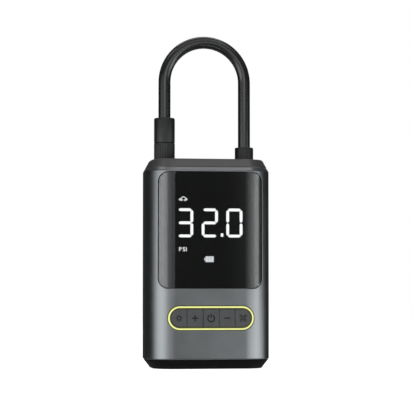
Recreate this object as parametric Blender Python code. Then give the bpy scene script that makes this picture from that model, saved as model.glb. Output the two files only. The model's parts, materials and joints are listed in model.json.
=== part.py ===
"""A portable tyre inflator whose hose loops over the top as a carrying handle.

Metres, +Z up. The display faces -Y and +X is to its right. The origin is at the centre of the
base, on the surface that the inflator stands on. Sizes are in millimetres times MM.
"""

import math

import bmesh
import bpy
from mathutils import Vector
from mathutils.geometry import interpolate_bezier

MM = 0.001

# Housing. The sleeve is an extruded tube, and a cap closes each of its ends.
WIDTH = 73.0 * MM
DEPTH = 45.0 * MM
HEIGHT = 122.0 * MM
CORNER = 16.5 * MM  # outer corner radius, seen from above
WALL = 2.0 * MM
SLEEVE_LOW = 5.5 * MM
SLEEVE_HIGH = 117.1 * MM
SHOULDER = 115.1 * MM  # where the top starts to narrow
TOP_INSET = 3.2 * MM  # how far the slanted shoulder comes in, up to the top's rounded edge
BASE_INSET = 4.4 * MM
FOOT_RISE = 0.5 * MM  # the feet lift the bottom cap by this
GAP = 0.3 * MM  # clearance between neighbours that would touch
CORNER_STEPS = 8  # facets on each quarter round of the housing

# Display window and button pad, on the front.
WINDOW_HALF_WIDTH = 30.7 * MM
WINDOW_LOW = 46.4 * MM
WINDOW_HIGH = 114.4 * MM
WINDOW_CORNER = 6.0 * MM
GLASS_DEPTHS = (0.05 * MM, 1.05 * MM)  # below the sleeve's outer surface
MASK_DEPTHS = (1.35 * MM, 2.35 * MM)
PAD_LENGTH = 50.5 * MM
PAD_HEIGHT = 14.5 * MM
PAD_Z = 29.5 * MM
RING_WIDTH = 1.5 * MM
BUTTONS = ("light", "plus", "power", "minus", "mode")
BUTTON_BACK = -19.5 * MM

# Control board, behind the display.
BOARD_FRONT = -16.4 * MM
BOARD_BACK = -15.2 * MM

# Hose, its collar and its nozzle, which share one vertical plane.
HOSE_X = 23.8 * MM
HOSE_Y = 5.0 * MM
HOSE_RADIUS = 3.5 * MM
HOSE_ARCH_Z = 169.0 * MM  # where the legs meet the arch
COLLAR_TOP = 130.4 * MM
COLLAR_RADIUS = 5.6 * MM
SLEEVE_JOINT_Z = 132.8 * MM  # where the chuck nut meets the nozzle sleeve
NOZZLE_TOP = 147.5 * MM
NOZZLE_RADIUS = 6.05 * MM
CHUCK_LOW = 108.4 * MM
CHUCK_RIBS = 24

# Pump. The crank and the motor turn about axes along Y, and the piston moves up and down.
GEAR_MODULE = 0.75 * MM
GEAR_TEETH = 48
PINION_TEETH = 12
PRESSURE_ANGLE = math.radians(25)
BACKLASH = 0.24 * MM
CRANK_X = 12.5 * MM
CRANK_Z = 61.0 * MM
MOTOR_X = CRANK_X - GEAR_MODULE * (GEAR_TEETH + PINION_TEETH) / 2
STROKE = 11.0 * MM
ROD_LENGTH = 20.0 * MM
ROD_Y = 0.6 * MM  # middle of the rod and of the cylinder
ROD_THICKNESS = 4.0 * MM
WRIST_Z = CRANK_Z - STROKE / 2 + ROD_LENGTH  # the piston rests at the bottom of its stroke
BORE = 8.5 * MM
CYLINDER_LOW = 69.5 * MM
CYLINDER_HIGH = 92.0 * MM
FIN_RADIUS = 11.2 * MM
HEAD_LOW = CYLINDER_HIGH + GAP

# Batteries lie across the housing, one above the other.
CELL_RADIUS = 9.2 * MM
CELL_LENGTH = 65.0 * MM
CELL_Y = 4.5 * MM
CELL_HEIGHTS = (19.2 * MM, 38.2 * MM)

# What each piece is made of: colour, roughness, metallic.
FINISHES = {
    "anodised": ((0.14, 0.145, 0.15), 0.35, 0.9),
    "black_plastic": ((0.012, 0.012, 0.013), 0.5, 0.0),
    "grey_plastic": ((0.07, 0.07, 0.075), 0.45, 0.0),
    "rubber": ((0.02, 0.02, 0.02), 0.7, 0.0),
    "smoked_glass": ((0.01, 0.01, 0.01), 0.05, 0.0),
    "lit_plastic": ((0.82, 0.86, 0.32), 0.3, 0.0),
    "button_grey": ((0.09, 0.09, 0.092), 0.5, 0.0),
    "clear_plastic": ((0.85, 0.87, 0.88), 0.1, 0.0),
    "board_green": ((0.01, 0.08, 0.03), 0.5, 0.0),
    "steel": ((0.5, 0.5, 0.52), 0.3, 1.0),
    "brass": ((0.7, 0.5, 0.2), 0.3, 1.0),
    "cast_aluminium": ((0.55, 0.56, 0.57), 0.5, 1.0),
    "cell_wrap": ((0.02, 0.09, 0.22), 0.4, 0.0),
    "white_plastic": ((0.6, 0.6, 0.58), 0.4, 0.0),
    "red_wire": ((0.4, 0.02, 0.02), 0.5, 0.0),
}


# ---------------------------------------------------------------- scene and materials


def clear_scene():
    for obj in list(bpy.data.objects):
        bpy.data.objects.remove(obj)


def finish(obj, kind):
    """Gives the object a material of its own."""
    colour, roughness, metallic = FINISHES[kind]
    material = bpy.data.materials.new(obj.name)
    material.use_nodes = True
    material.diffuse_color = (*colour, 1.0)
    shader = material.node_tree.nodes["Principled BSDF"]
    shader.inputs["Base Color"].default_value = (*colour, 1.0)
    shader.inputs["Roughness"].default_value = roughness
    shader.inputs["Metallic"].default_value = metallic
    obj.data.materials.append(material)
    return obj


def axis_empty(name, location):
    """An empty on a joint's axis, which carries the pieces that move with the joint."""
    empty = bpy.data.objects.new(name, None)
    empty.empty_display_size = 5 * MM
    empty.location = location
    bpy.context.scene.collection.objects.link(empty)
    return empty


def place(obj, parent):
    """Parents an object that was made in world coordinates, and keeps it where it is."""
    obj.parent = parent
    obj.location = obj.location - parent.location
    return obj


# ---------------------------------------------------------------- shapes


def mesh_object(name, verts, faces, location=(0, 0, 0), along="Z"):
    """A closed mesh. With along="Y" or "X" its own Z axis points that way."""
    mesh = bpy.data.meshes.new(name)
    mesh.from_pydata(verts, [], faces)
    shape = bmesh.new()
    shape.from_mesh(mesh)
    bmesh.ops.recalc_face_normals(shape, faces=shape.faces)
    shape.to_mesh(mesh)
    shape.free()
    mesh.shade_smooth()
    mesh.set_sharp_from_angle(angle=math.radians(30))
    obj = bpy.data.objects.new(name, mesh)
    obj.location = location
    if along == "Y":
        obj.rotation_euler = (-math.pi / 2, 0, 0)
    if along == "X":
        obj.rotation_euler = (0, math.pi / 2, 0)
    bpy.context.scene.collection.objects.link(obj)
    return obj


def lofted(name, sections, **where):
    """A solid through sections, each a list of (x, y) and a height, all with as many points."""
    count = len(sections[0][0])
    verts = [(x, y, height) for points, height in sections for x, y in points]
    faces = [tuple(range(count))]
    faces.append(tuple(range(len(verts) - count, len(verts))))
    for level in range(len(sections) - 1):
        start = level * count
        for k in range(count):
            n = (k + 1) % count
            faces.append((start + k, start + n, start + count + n, start + count + k))
    return mesh_object(name, verts, faces, **where)


def extruded(name, outline, low, high, **where):
    return lofted(name, [(outline, low), (outline, high)], **where)


def turned(name, outline, steps=24, **where):
    """A solid turned about its own Z axis. The outline is a closed loop of (radius, height)."""
    verts = []
    rings = []
    for radius, height in outline:
        if radius == 0:
            rings.append([len(verts)] * steps)
            verts.append((0, 0, height))
            continue
        rings.append(list(range(len(verts), len(verts) + steps)))
        for k in range(steps):
            angle = 2 * math.pi * k / steps
            verts.append((radius * math.cos(angle), radius * math.sin(angle), height))
    faces = []
    for ring, following in zip(rings, rings[1:] + rings[:1]):
        for k in range(steps):
            n = (k + 1) % steps
            corners = list(dict.fromkeys((ring[k], ring[n], following[n], following[k])))
            if len(corners) > 2:
                faces.append(tuple(corners))
    return mesh_object(name, verts, faces, **where)


def cylinder(name, radius, low, high, steps=24, **where):
    outline = [(0, low), (radius, low), (radius, high), (0, high)]
    return turned(name, outline, steps, **where)


def rounded_rectangle(half_width, half_depth, radius, steps=6, centre=(0, 0)):
    points = []
    for quarter, (sx, sy) in enumerate(((1, 1), (-1, 1), (-1, -1), (1, -1))):
        for k in range(steps + 1):
            angle = math.pi / 2 * (quarter + k / steps)
            x = sx * (half_width - radius) + radius * math.cos(angle)
            y = sy * (half_depth - radius) + radius * math.sin(angle)
            points.append((centre[0] + x, centre[1] + y))
    return list(dict.fromkeys(points))


def box(name, low, high):
    half = [(h - l) / 2 for l, h in zip(low, high)]
    centre = [(h + l) / 2 for l, h in zip(low, high)]
    corners = [(-half[0], -half[1]), (half[0], -half[1]), (half[0], half[1]), (-half[0], half[1])]
    return extruded(name, corners, -half[2], half[2], location=centre)


def housing_section(inset):
    """The housing seen from above, moved in by inset all round."""
    return rounded_rectangle(WIDTH / 2 - inset, DEPTH / 2 - inset, CORNER - inset, CORNER_STEPS)


def housing_prism(name, inset, low=-10 * MM, high=130 * MM):
    return extruded(name, housing_section(inset), low, high)


def front_slab(name, outline, back, front=-30 * MM):
    """An outline drawn on the front, as (x, z), made solid from y = front to y = back."""
    flipped = [(x, -z) for x, z in outline]
    return extruded(name, flipped, front, back, along="Y")


def pill(length, height, steps=10):
    """A slot's outline, round at both ends."""
    return rounded_rectangle(length / 2, height / 2, height / 2 - 1e-6, steps)


def smooth_route(points, per_span=4):
    """Points along one smooth curve through the route's own points."""
    knots = [Vector(p) for p in points]
    result = []
    for k in range(len(knots) - 1):
        before = knots[max(k - 1, 0)]
        after = knots[min(k + 2, len(knots) - 1)]
        leave = knots[k] + (knots[k + 1] - before) / 6
        arrive = knots[k + 1] - (after - knots[k]) / 6
        span = interpolate_bezier(knots[k], leave, arrive, knots[k + 1], per_span + 1)
        result.extend(span[:-1])
    return result + [knots[-1]]


def tube(name, points, radius, roundness):
    """A round cord or tube with filled ends."""
    curve = bpy.data.curves.new(name, "CURVE")
    curve.dimensions = "3D"
    curve.bevel_depth = radius
    curve.bevel_resolution = roundness
    curve.use_fill_caps = True
    spline = curve.splines.new("POLY")
    spline.points.add(len(points) - 1)
    for point, place_at in zip(spline.points, points):
        point.co = (*place_at, 1.0)
    obj = bpy.data.objects.new(name, curve)
    bpy.context.scene.collection.objects.link(obj)
    return obj


def combine(target, tools, operation):
    """Applies Boolean tools to a target. A tool is a guide and not a piece of the object."""
    for tool in tools:
        tool.hide_render = True
        tool.display_type = "WIRE"
        modifier = target.modifiers.new(tool.name, "BOOLEAN")
        modifier.operation = operation
        modifier.solver = "EXACT"
        modifier.object = tool
    return target


def cut(target, *tools):
    return combine(target, tools, "DIFFERENCE")


def join(target, *tools):
    return combine(target, tools, "UNION")


def keep_inside(target, *tools):
    return combine(target, tools, "INTERSECT")


# ---------------------------------------------------------------- housing


def window_outline(clearance=0.0):
    half_height = (WINDOW_HIGH - WINDOW_LOW) / 2 - clearance
    middle = (WINDOW_HIGH + WINDOW_LOW) / 2
    half_width = WINDOW_HALF_WIDTH - clearance
    return rounded_rectangle(half_width, half_height, WINDOW_CORNER - clearance, 6, (0, middle))


def pad_outline(clearance):
    outline = pill(PAD_LENGTH - 2 * clearance, PAD_HEIGHT - 2 * clearance)
    return [(x, z + PAD_Z) for x, z in outline]


def make_sleeve():
    rim_inset = TOP_INSET * (SLEEVE_HIGH - SHOULDER) / (HEIGHT - 1.0 * MM - SHOULDER)
    sleeve = lofted(
        "shell_sleeve",
        [
            (housing_section(0.4 * MM), SLEEVE_LOW),
            (housing_section(0), SLEEVE_LOW + 0.5 * MM),
            (housing_section(0), SHOULDER),
            (housing_section(rim_inset), SLEEVE_HIGH),
        ],
    )
    hollow = housing_prism("sleeve_hollow", WALL)
    window = front_slab("window_aperture", window_outline(), -12 * MM)
    pad = front_slab("pad_aperture", pad_outline(0), -12 * MM)
    return finish(cut(sleeve, hollow, window, pad), "anodised")


def make_top_cap():
    low = SLEEVE_HIGH + GAP
    slope = TOP_INSET / (HEIGHT - 1.0 * MM - SHOULDER)
    spigot = WALL + GAP
    cap = lofted(
        "top_cap",
        [
            (housing_section(spigot), WINDOW_HIGH + 0.5 * MM),
            (housing_section(spigot), low),
            (housing_section(slope * (low - SHOULDER)), low + 0.01 * MM),
            (housing_section(TOP_INSET), HEIGHT - 1.0 * MM),
            (housing_section(TOP_INSET + 0.4 * MM), HEIGHT - 0.35 * MM),
            (housing_section(TOP_INSET + 1.1 * MM), HEIGHT),
        ],
    )
    pocket = housing_prism("top_pocket", WALL + 2.4 * MM, 110 * MM, HEIGHT - 2 * MM)
    hose_hole = cylinder("hose_hole", COLLAR_RADIUS + GAP, 0.1, 0.13, location=(HOSE_X, HOSE_Y, 0))
    nozzle_at = (-HOSE_X, HOSE_Y, 0)
    nozzle_hole = cylinder("nozzle_hole", NOZZLE_RADIUS + 0.55 * MM, 0.1, 0.13, location=nozzle_at)
    lamp_hole = cylinder("lamp_hole", 5.3 * MM, 0.1, 0.13, location=(0, 7 * MM, 0))
    port = rounded_rectangle(4.8 * MM, 1.9 * MM, 1.8 * MM)
    port_hole = extruded("port_hole", port, 0.1, 0.13, location=(0, -9 * MM, 0))
    return finish(cut(cap, pocket, hose_hole, nozzle_hole, lamp_hole, port_hole), "black_plastic")


FOOT_Y = 12.5 * MM
FOOT_TOP = 1.6 * MM
SCREW_PLACES = ((-25, -7), (25, -7), (25, 7), (-25, 7))


def make_bottom_cap():
    high = SLEEVE_LOW - GAP
    cap = lofted(
        "bottom_cap",
        [
            (housing_section(BASE_INSET + 0.5 * MM), FOOT_RISE),
            (housing_section(BASE_INSET - 0.1 * MM), FOOT_RISE + 0.4 * MM),
            (housing_section(0.5 * MM), high - 0.01 * MM),
            (housing_section(WALL + GAP), high),
            (housing_section(WALL + GAP), high + 3.2 * MM),
        ],
    )
    tools = [housing_prism("bottom_pocket", WALL + 2.4 * MM, 3.6 * MM, 20 * MM)]
    for name, y in (("front", -FOOT_Y), ("back", FOOT_Y)):
        recess = rounded_rectangle(16.3 * MM, 2.6 * MM, 2.5 * MM, 4)
        where = {"location": (0, y, 0)}
        tools.append(extruded(f"{name}_recess", recess, -2 * MM, FOOT_TOP + GAP, **where))
    for k in range(7):
        slot = rounded_rectangle(0.9 * MM, 6.5 * MM, 0.85 * MM, 3)
        where = {"location": ((k - 3) * 4.2 * MM, 0, 0)}
        tools.append(extruded(f"vent_{k + 1}", slot, -2 * MM, 5 * MM, **where))
    for k, (x, y) in enumerate(SCREW_PLACES):
        steps = [(0, -0.002), (0.0026, -0.002), (0.0026, 0.0024), (0.0015, 0.0024)]
        steps += [(0.0015, 0.006), (0, 0.006)]
        where = {"location": (x * MM, y * MM, 0)}
        tools.append(turned(f"screw_hole_{k + 1}", steps, 12, **where))
    return finish(cut(cap, *tools), "black_plastic")


def make_feet_and_screws():
    outline = rounded_rectangle(16.0 * MM, 2.3 * MM, 2.2 * MM)
    inner = rounded_rectangle(15.7 * MM, 2.0 * MM, 1.9 * MM)
    sections = [(inner, 0), (outline, 0.3 * MM), (outline, FOOT_TOP)]
    for name, y in (("foot_front", -FOOT_Y), ("foot_back", FOOT_Y)):
        finish(lofted(name, sections, location=(0, y, 0)), "rubber")
    profile = [(0, 1.5), (0.8, 0.9), (2.0, 0.9), (2.3, 1.2), (2.3, 2.1), (1.2, 2.1), (1.2, 8), (0, 8)]
    profile = [(radius * MM, height * MM) for radius, height in profile]
    for k, (x, y) in enumerate(SCREW_PLACES):
        screw = turned(f"base_screw_{k + 1}", profile, 12, location=(x * MM, y * MM, 0))
        finish(screw, "steel")


# ---------------------------------------------------------------- display and buttons


def front_layer(name, outline, depths):
    """A curved plate that follows the sleeve, between two depths below its outer surface."""
    plate = front_slab(name, outline, -12 * MM)
    outside = housing_prism(f"{name}_outside", depths[0])
    inside = housing_prism(f"{name}_inside", depths[1])
    keep_inside(plate, outside)
    return cut(plate, inside)


def make_display():
    finish(front_layer("display_window", window_outline(GAP), GLASS_DEPTHS), "smoked_glass")
    finish(front_layer("display_mask", window_outline(GAP), MASK_DEPTHS), "black_plastic")
    low = (-19 * MM, -19.8 * MM, 54 * MM)
    high = (19 * MM, BOARD_FRONT - GAP, 108 * MM)
    finish(box("display_module", low, high), "white_plastic")
    outline = rounded_rectangle(27 * MM, 50 * MM, 3 * MM, 4, (0, 62 * MM))
    board = front_slab("control_board", outline, BOARD_BACK, BOARD_FRONT)
    finish(board, "board_green")
    sensor = box("pressure_sensor", (-13 * MM, -14.9 * MM, 92 * MM), (-7 * MM, -12.4 * MM, 97 * MM))
    finish(sensor, "black_plastic")


def make_light_ring():
    ring = front_slab("light_ring", pad_outline(GAP), -17 * MM)
    inner = front_slab("ring_hollow", pad_outline(GAP + RING_WIDTH), -10 * MM, -40 * MM)
    outside = housing_prism("ring_outside", 0)
    finish(cut(keep_inside(ring, outside), inner), "lit_plastic")


def button_outline(index):
    """One of the side-by-side buttons: the end ones are round on their outer side."""
    height = PAD_HEIGHT - 2 * (RING_WIDTH + 2 * GAP)
    length = PAD_LENGTH - 2 * (RING_WIDTH + 2 * GAP)
    pitch = length / len(BUTTONS)
    left = -length / 2 + index * pitch + GAP / 2
    right = left + pitch - GAP
    radius = height / 2
    steps = 10
    points = []
    for k in range(steps + 1):
        angle = math.pi * (k / steps - 0.5)
        if index == len(BUTTONS) - 1:
            reach = length / 2 - radius + radius * math.cos(angle)
            points.append((reach, radius * math.sin(angle)))
        elif k in (0, steps):
            points.append((right, radius * math.sin(angle)))
    for k in range(steps + 1):
        angle = math.pi * (k / steps + 0.5)
        if index == 0:
            reach = -length / 2 + radius + radius * math.cos(angle)
            points.append((reach, radius * math.sin(angle)))
        elif k in (0, steps):
            points.append((left, radius * math.sin(angle)))
    middle = (left + right) / 2
    return [(x - middle, z) for x, z in points], middle


def make_buttons():
    outside = housing_prism("button_outside", 0.05 * MM)
    for index, word in enumerate(BUTTONS):
        outline, middle = button_outline(index)
        slide = axis_empty(f"button_{word}_slide", (middle, BUTTON_BACK, PAD_Z))
        button = front_slab(f"button_{word}", outline, BUTTON_BACK)
        button.location = (middle, 0, PAD_Z)
        finish(keep_inside(place(button, slide), outside), "button_grey")
        low = (middle - 1.8 * MM, -18.7 * MM, PAD_Z - 1.8 * MM)
        high = (middle + 1.8 * MM, BOARD_FRONT - GAP, PAD_Z + 1.8 * MM)
        finish(box(f"switch_{word}", low, high), "black_plastic")


# ---------------------------------------------------------------- lamp and charging port


def make_lamp():
    lens = [(0, 119.6), (5.0, 119.6), (5.0, 121.5), (4.2, 121.9), (0, 122.0)]
    lens = [(radius * MM, height * MM) for radius, height in lens]
    finish(turned("lamp_lens", lens, 24, location=(0, 7 * MM, 0)), "clear_plastic")
    board = [(0, 114.9), (6.5, 114.9), (6.5, 116.1), (1.8, 116.1), (1.8, 117), (0, 117)]
    board = [(radius * MM, height * MM) for radius, height in board]
    finish(turned("lamp_board", board, 24, location=(0, 7 * MM, 0)), "white_plastic")


def make_port():
    at = {"location": (0, -9 * MM, 0)}
    shell = extruded("charging_port", rounded_rectangle(4.5 * MM, 1.6 * MM, 1.5 * MM), 0.115, 0.1217, **at)
    opening = rounded_rectangle(4.15 * MM, 1.25 * MM, 1.2 * MM)
    mouth = extruded("port_mouth", opening, 0.1162, 0.13, **at)
    tongue = box("port_tongue", (-3.2 * MM, -9.35 * MM, 0.1155), (3.2 * MM, -8.65 * MM, 0.1208))
    finish(join(cut(shell, mouth), tongue), "steel")


# ---------------------------------------------------------------- battery


def make_battery():
    half = CELL_LENGTH / 2
    radius = CELL_RADIUS
    wrap = [(0, -half + 0.6 * MM), (6 * MM, -half), (radius - 0.5 * MM, -half)]
    wrap += [(radius, -half + 0.5 * MM), (radius, half - 0.5 * MM), (radius - 0.5 * MM, half)]
    wrap += [(3.5 * MM, half - 0.9 * MM), (2.8 * MM, half), (0, half)]
    for name, height in zip(("battery_cell_lower", "battery_cell_upper"), CELL_HEIGHTS):
        where = {"location": (0, CELL_Y, height), "along": "X"}
        finish(turned(name, wrap, 20, **where), "cell_wrap")
    wall = half + GAP
    outer = wall + 1.0 * MM
    holder = box("battery_holder", (-outer, -5 * MM, 8.9 * MM), (outer, 9 * MM, 46.5 * MM))
    inside = box("holder_inside", (-wall, -9 * MM, 9.7 * MM), (wall, 15 * MM, 60 * MM))
    finish(cut(holder, inside), "grey_plastic")
    route = [(-32.9, 2, 47), (-32.9, 1, 53), (-31, -3, 60), (-27, -9, 66), (-24.5, -14.8, 68)]
    points = smooth_route([(x * MM, y * MM, z * MM) for x, y, z in route], 3)
    finish(tube("battery_lead", points, 0.7 * MM, 1), "red_wire")


# ---------------------------------------------------------------- pump


def gear_outline(teeth, phase):
    """An involute spur gear's outline, with a tooth centred at the angle phase."""
    pitch = teeth * GEAR_MODULE / 2
    base = pitch * math.cos(PRESSURE_ANGLE)
    tip = pitch + GEAR_MODULE
    root = pitch - 1.25 * GEAR_MODULE
    start = max(base, root)
    radii = [start + (tip - start) * k / 2 for k in range(3)]
    if root < base:
        radii.insert(0, root)
    half_tooth = math.pi / (2 * teeth) - BACKLASH / (4 * pitch)
    at_pitch = math.tan(PRESSURE_ANGLE) - PRESSURE_ANGLE
    side = []
    for radius in radii:
        slope = math.acos(min(base / radius, 1.0))
        side.append((radius, half_tooth + at_pitch - (math.tan(slope) - slope)))
    points = []
    for tooth in range(teeth):
        middle = phase + 2 * math.pi * tooth / teeth
        for radius, angle in side:
            points.append((radius * math.cos(middle - angle), radius * math.sin(middle - angle)))
        for radius, angle in reversed(side):
            points.append((radius * math.cos(middle + angle), radius * math.sin(middle + angle)))
    return points


def make_motor():
    at = {"location": (MOTOR_X, 0, CRANK_Z), "along": "Y"}
    can = [(1.6, -8.5), (3.5, -8.5), (3.5, -6.7), (11.2, -6.7), (12.2, -5.7), (12.2, 15.0)]
    can += [(10.8, 15.0), (10.8, -5.2), (1.6, -5.2)]
    can = [(radius * MM, height * MM) for radius, height in can]
    finish(turned("motor_can", can, 22, **at), "steel")
    end = [(1.6, 15.3), (11.8, 15.3), (11.8, 17.6), (5, 17.6), (5, 18.8), (1.6, 18.8)]
    end = [(radius * MM, height * MM) for radius, height in end]
    finish(turned("motor_end_cap", end, 22, **at), "black_plastic")
    spin = axis_empty("motor_axis", (MOTOR_X, 0, CRANK_Z))
    rotor = [(0, -14.4), (1.15, -14.4), (1.15, -4.5), (9.6, -3.5), (9.6, 10.5), (4, 12)]
    rotor += [(4, 14), (1.15, 14), (1.15, 18.4), (0, 18.4)]
    rotor = [(radius * MM, height * MM) for radius, height in rotor]
    finish(place(turned("motor_rotor", rotor, 18, **at), spin), "steel")
    outline = gear_outline(PINION_TEETH, 0)
    pinion = extruded("drive_pinion", outline, -14.2 * MM, -10.9 * MM, **at)
    bore = cylinder("pinion_bore", 1.45 * MM, -20 * MM, 0, 16, **at)
    finish(cut(place(pinion, spin), bore), "brass")
    route = [(-14, 17, 73), (-14, 15.5, 80), (-14, 8, 86), (-14, -3, 88), (-14, -14.8, 88)]
    points = smooth_route([(x * MM, y * MM, z * MM) for x, y, z in route], 3)
    finish(tube("motor_lead", points, 0.7 * MM, 1), "red_wire")


def make_crank():
    at = {"location": (CRANK_X, 0, CRANK_Z), "along": "Y"}
    spin = axis_empty("crank_axis", (CRANK_X, 0, CRANK_Z))
    outline = gear_outline(GEAR_TEETH, math.pi / GEAR_TEETH)
    gear = extruded("crank_gear", outline, -14 * MM, -11 * MM, **at)
    bore = cylinder("gear_bore", 2.3 * MM, -20 * MM, 0, 16, **at)
    holes = []
    for k in range(6):
        angle = math.pi / 3 * k
        x = CRANK_X + 9.5 * MM * math.cos(angle)
        z = CRANK_Z + 9.5 * MM * math.sin(angle)
        where = {"location": (x, 0, z), "along": "Y"}
        holes.append(cylinder(f"gear_hole_{k + 1}", 3 * MM, -20 * MM, 0, 12, **where))
    finish(cut(place(gear, spin), bore, *holes), "steel")
    shaft = [(0, -14.4), (2, -14.4), (2, -6.7), (8, -6.7), (8, -4.3), (0, -4.3)]
    shaft = [(radius * MM, height * MM) for radius, height in shaft]
    disc = turned("crank_shaft", shaft, 28, **at)
    pin_at = {"location": (CRANK_X, 0, CRANK_Z - STROKE / 2), "along": "Y"}
    pin = cylinder("crank_pin", 1.6 * MM, -5 * MM, ROD_Y - ROD_THICKNESS / 2 - 0.4 * MM, 16, **pin_at)
    finish(join(place(disc, spin), pin), "steel")
    race = [(2.3, -10.4), (6.5, -10.4), (6.5, -7.2), (2.3, -7.2)]
    race = [(radius * MM, height * MM) for radius, height in race]
    finish(turned("crank_bearing", race, 24, **at), "steel")


def make_pump_frame():
    plate = box("pump_frame", (-22.5 * MM, -10.6 * MM, 48.5 * MM), (27.5 * MM, -7 * MM, 69.2 * MM))
    shelf = box("frame_shelf", (1.6 * MM, -9 * MM, 66.4 * MM), (27.5 * MM, 12 * MM, 69.2 * MM))
    boss_at = {"location": (MOTOR_X, 0, CRANK_Z), "along": "Y"}
    boss = cylinder("boss_hole", 3.9 * MM, -20 * MM, 0, 20, **boss_at)
    bearing_at = {"location": (CRANK_X, 0, CRANK_Z), "along": "Y"}
    bearing = cylinder("bearing_hole", 6.8 * MM, -20 * MM, 0, 24, **bearing_at)
    sweep = 10.6 * MM
    low = (CRANK_X - sweep - 2 * MM, -6.9 * MM, 60 * MM)
    slot = box("rod_slot", low, (CRANK_X + sweep, ROD_Y + 5 * MM, 75 * MM))
    mouth = cylinder("bore_hole", BORE, 60 * MM, 75 * MM, 24, location=(CRANK_X, ROD_Y, 0))
    finish(cut(join(plate, shelf), boss, bearing, slot, mouth), "cast_aluminium")


def make_cylinder():
    at = {"location": (CRANK_X, ROD_Y, 0)}
    wall = 10.0 * MM
    outline = [(BORE, CYLINDER_LOW), (FIN_RADIUS, CYLINDER_LOW)]
    outline += [(FIN_RADIUS, CYLINDER_LOW + 2 * MM), (wall, CYLINDER_LOW + 2 * MM)]
    fins = 4
    pitch = (CYLINDER_HIGH - CYLINDER_LOW - 2 * MM) / fins
    for k in range(fins):
        top = CYLINDER_LOW + 2 * MM + (k + 1) * pitch
        outline += [(wall, top - 1.4 * MM), (FIN_RADIUS, top - 1.4 * MM), (FIN_RADIUS, top), (wall, top)]
    outline[-1] = (BORE, CYLINDER_HIGH)
    half = ROD_THICKNESS / 2 + 0.6 * MM
    low = (CRANK_X - 14 * MM, ROD_Y - half, CYLINDER_LOW - 1 * MM)
    high = (CRANK_X + 14 * MM, ROD_Y + half, CYLINDER_LOW + 3.1 * MM)
    notch = box("rod_notch", low, high)
    finish(cut(turned("cylinder", outline, 20, **at), notch), "cast_aluminium")
    head = [(1.2, 0), (11.2, 0), (11.2, 2.7), (4.6, 2.7), (4.6, 8), (0, 8), (0, 6.9), (3, 6.9)]
    head += [(3, 2.5), (1.2, 2.5)]
    head = [(radius * MM, HEAD_LOW + height * MM) for radius, height in head]
    head = turned("cylinder_head", head, 20, **at)
    level = HEAD_LOW + 5.2 * MM
    nipple_at = {"location": (CRANK_X, ROD_Y, level), "along": "X"}
    nipple = cylinder("outlet_nipple", 1.7 * MM, 3.6 * MM, 7 * MM, 16, **nipple_at)
    passage = cylinder("outlet_passage", 0.8 * MM, 1 * MM, 10 * MM, 12, **nipple_at)
    finish(cut(join(head, nipple), passage), "cast_aluminium")
    route = [(19.9, 0.6, 97.5), (21.7, 1.0, 97.9), (23.3, 2.4, 100.2), (23.8, 4.2, 103.5)]
    route += [(23.8, 5, 107.5), (23.8, 5, 113)]
    points = smooth_route([(x * MM, y * MM, z * MM) for x, y, z in route], 3)
    finish(tube("outlet_tube", points, 1.9 * MM, 2), "rubber")


def make_check_valve():
    at = {"location": (CRANK_X, ROD_Y, 0)}
    seat = HEAD_LOW + 2.5 * MM + 0.2 * MM
    lift = axis_empty("check_valve_axis", (CRANK_X, ROD_Y, seat))
    disc = cylinder("valve_disc", 2.3 * MM, seat, seat + 0.8 * MM, 16, **at)
    finish(place(disc, lift), "rubber")
    low = seat + 1.3 * MM
    high = HEAD_LOW + 6.5 * MM
    turns = 3
    steps = 10
    points = []
    for k in range(turns * steps + 1):
        angle = 2 * math.pi * k / steps
        x = CRANK_X + 1.6 * MM * math.cos(angle)
        y = ROD_Y + 1.6 * MM * math.sin(angle)
        points.append((x, y, low + (high - low) * k / (turns * steps)))
    finish(tube("valve_spring", points, 0.22 * MM, 0), "steel")


def make_piston():
    at = {"location": (CRANK_X, ROD_Y, WRIST_Z)}
    slide = axis_empty("piston_axis", (CRANK_X, ROD_Y, WRIST_Z))
    body = [(0, -4), (8.1, -4), (8.1, 0.6), (6.6, 0.6), (6.6, 2.6), (8.1, 2.6), (8.1, 4), (0, 4)]
    body = [(radius * MM, height * MM) for radius, height in body]
    piston = turned("piston", body, 20, **at)
    half = ROD_THICKNESS / 2 + GAP
    reach = 4.9 * MM  # the rod leans this far over at the end of its swing
    low = (CRANK_X - reach, ROD_Y - half, WRIST_Z - 9 * MM)
    slot = box("piston_slot", low, (CRANK_X + reach, ROD_Y + half, WRIST_Z + 3.2 * MM))
    pin_at = {"location": (CRANK_X, ROD_Y, WRIST_Z), "along": "Y"}
    hole = cylinder("wrist_hole", 1.8 * MM, -12 * MM, 12 * MM, 16, **pin_at)
    finish(cut(place(piston, slide), slot, hole), "grey_plastic")
    seal = [(6.9, 0.9), (8.3, 0.9), (8.3, 2.3), (6.9, 2.3)]
    seal = [(radius * MM, height * MM) for radius, height in seal]
    finish(place(turned("piston_seal", seal, 20, **at), slide), "rubber")
    pin = cylinder("wrist_pin", 1.5 * MM, -6.3 * MM, 6.3 * MM, 16, **pin_at)
    finish(place(pin, slide), "steel")


def link_outline(length, small, big, steps=10):
    """Two round ends joined by straight tangents, the small one at the origin."""
    lean = math.asin((big - small) / length)
    points = []
    for k in range(steps + 1):
        angle = -lean + (math.pi + 2 * lean) * k / steps
        points.append((small * math.cos(angle), small * math.sin(angle)))
    for k in range(steps + 1):
        angle = math.pi + lean + (math.pi - 2 * lean) * k / steps
        points.append((big * math.cos(angle), big * math.sin(angle) - length))
    return points


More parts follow.
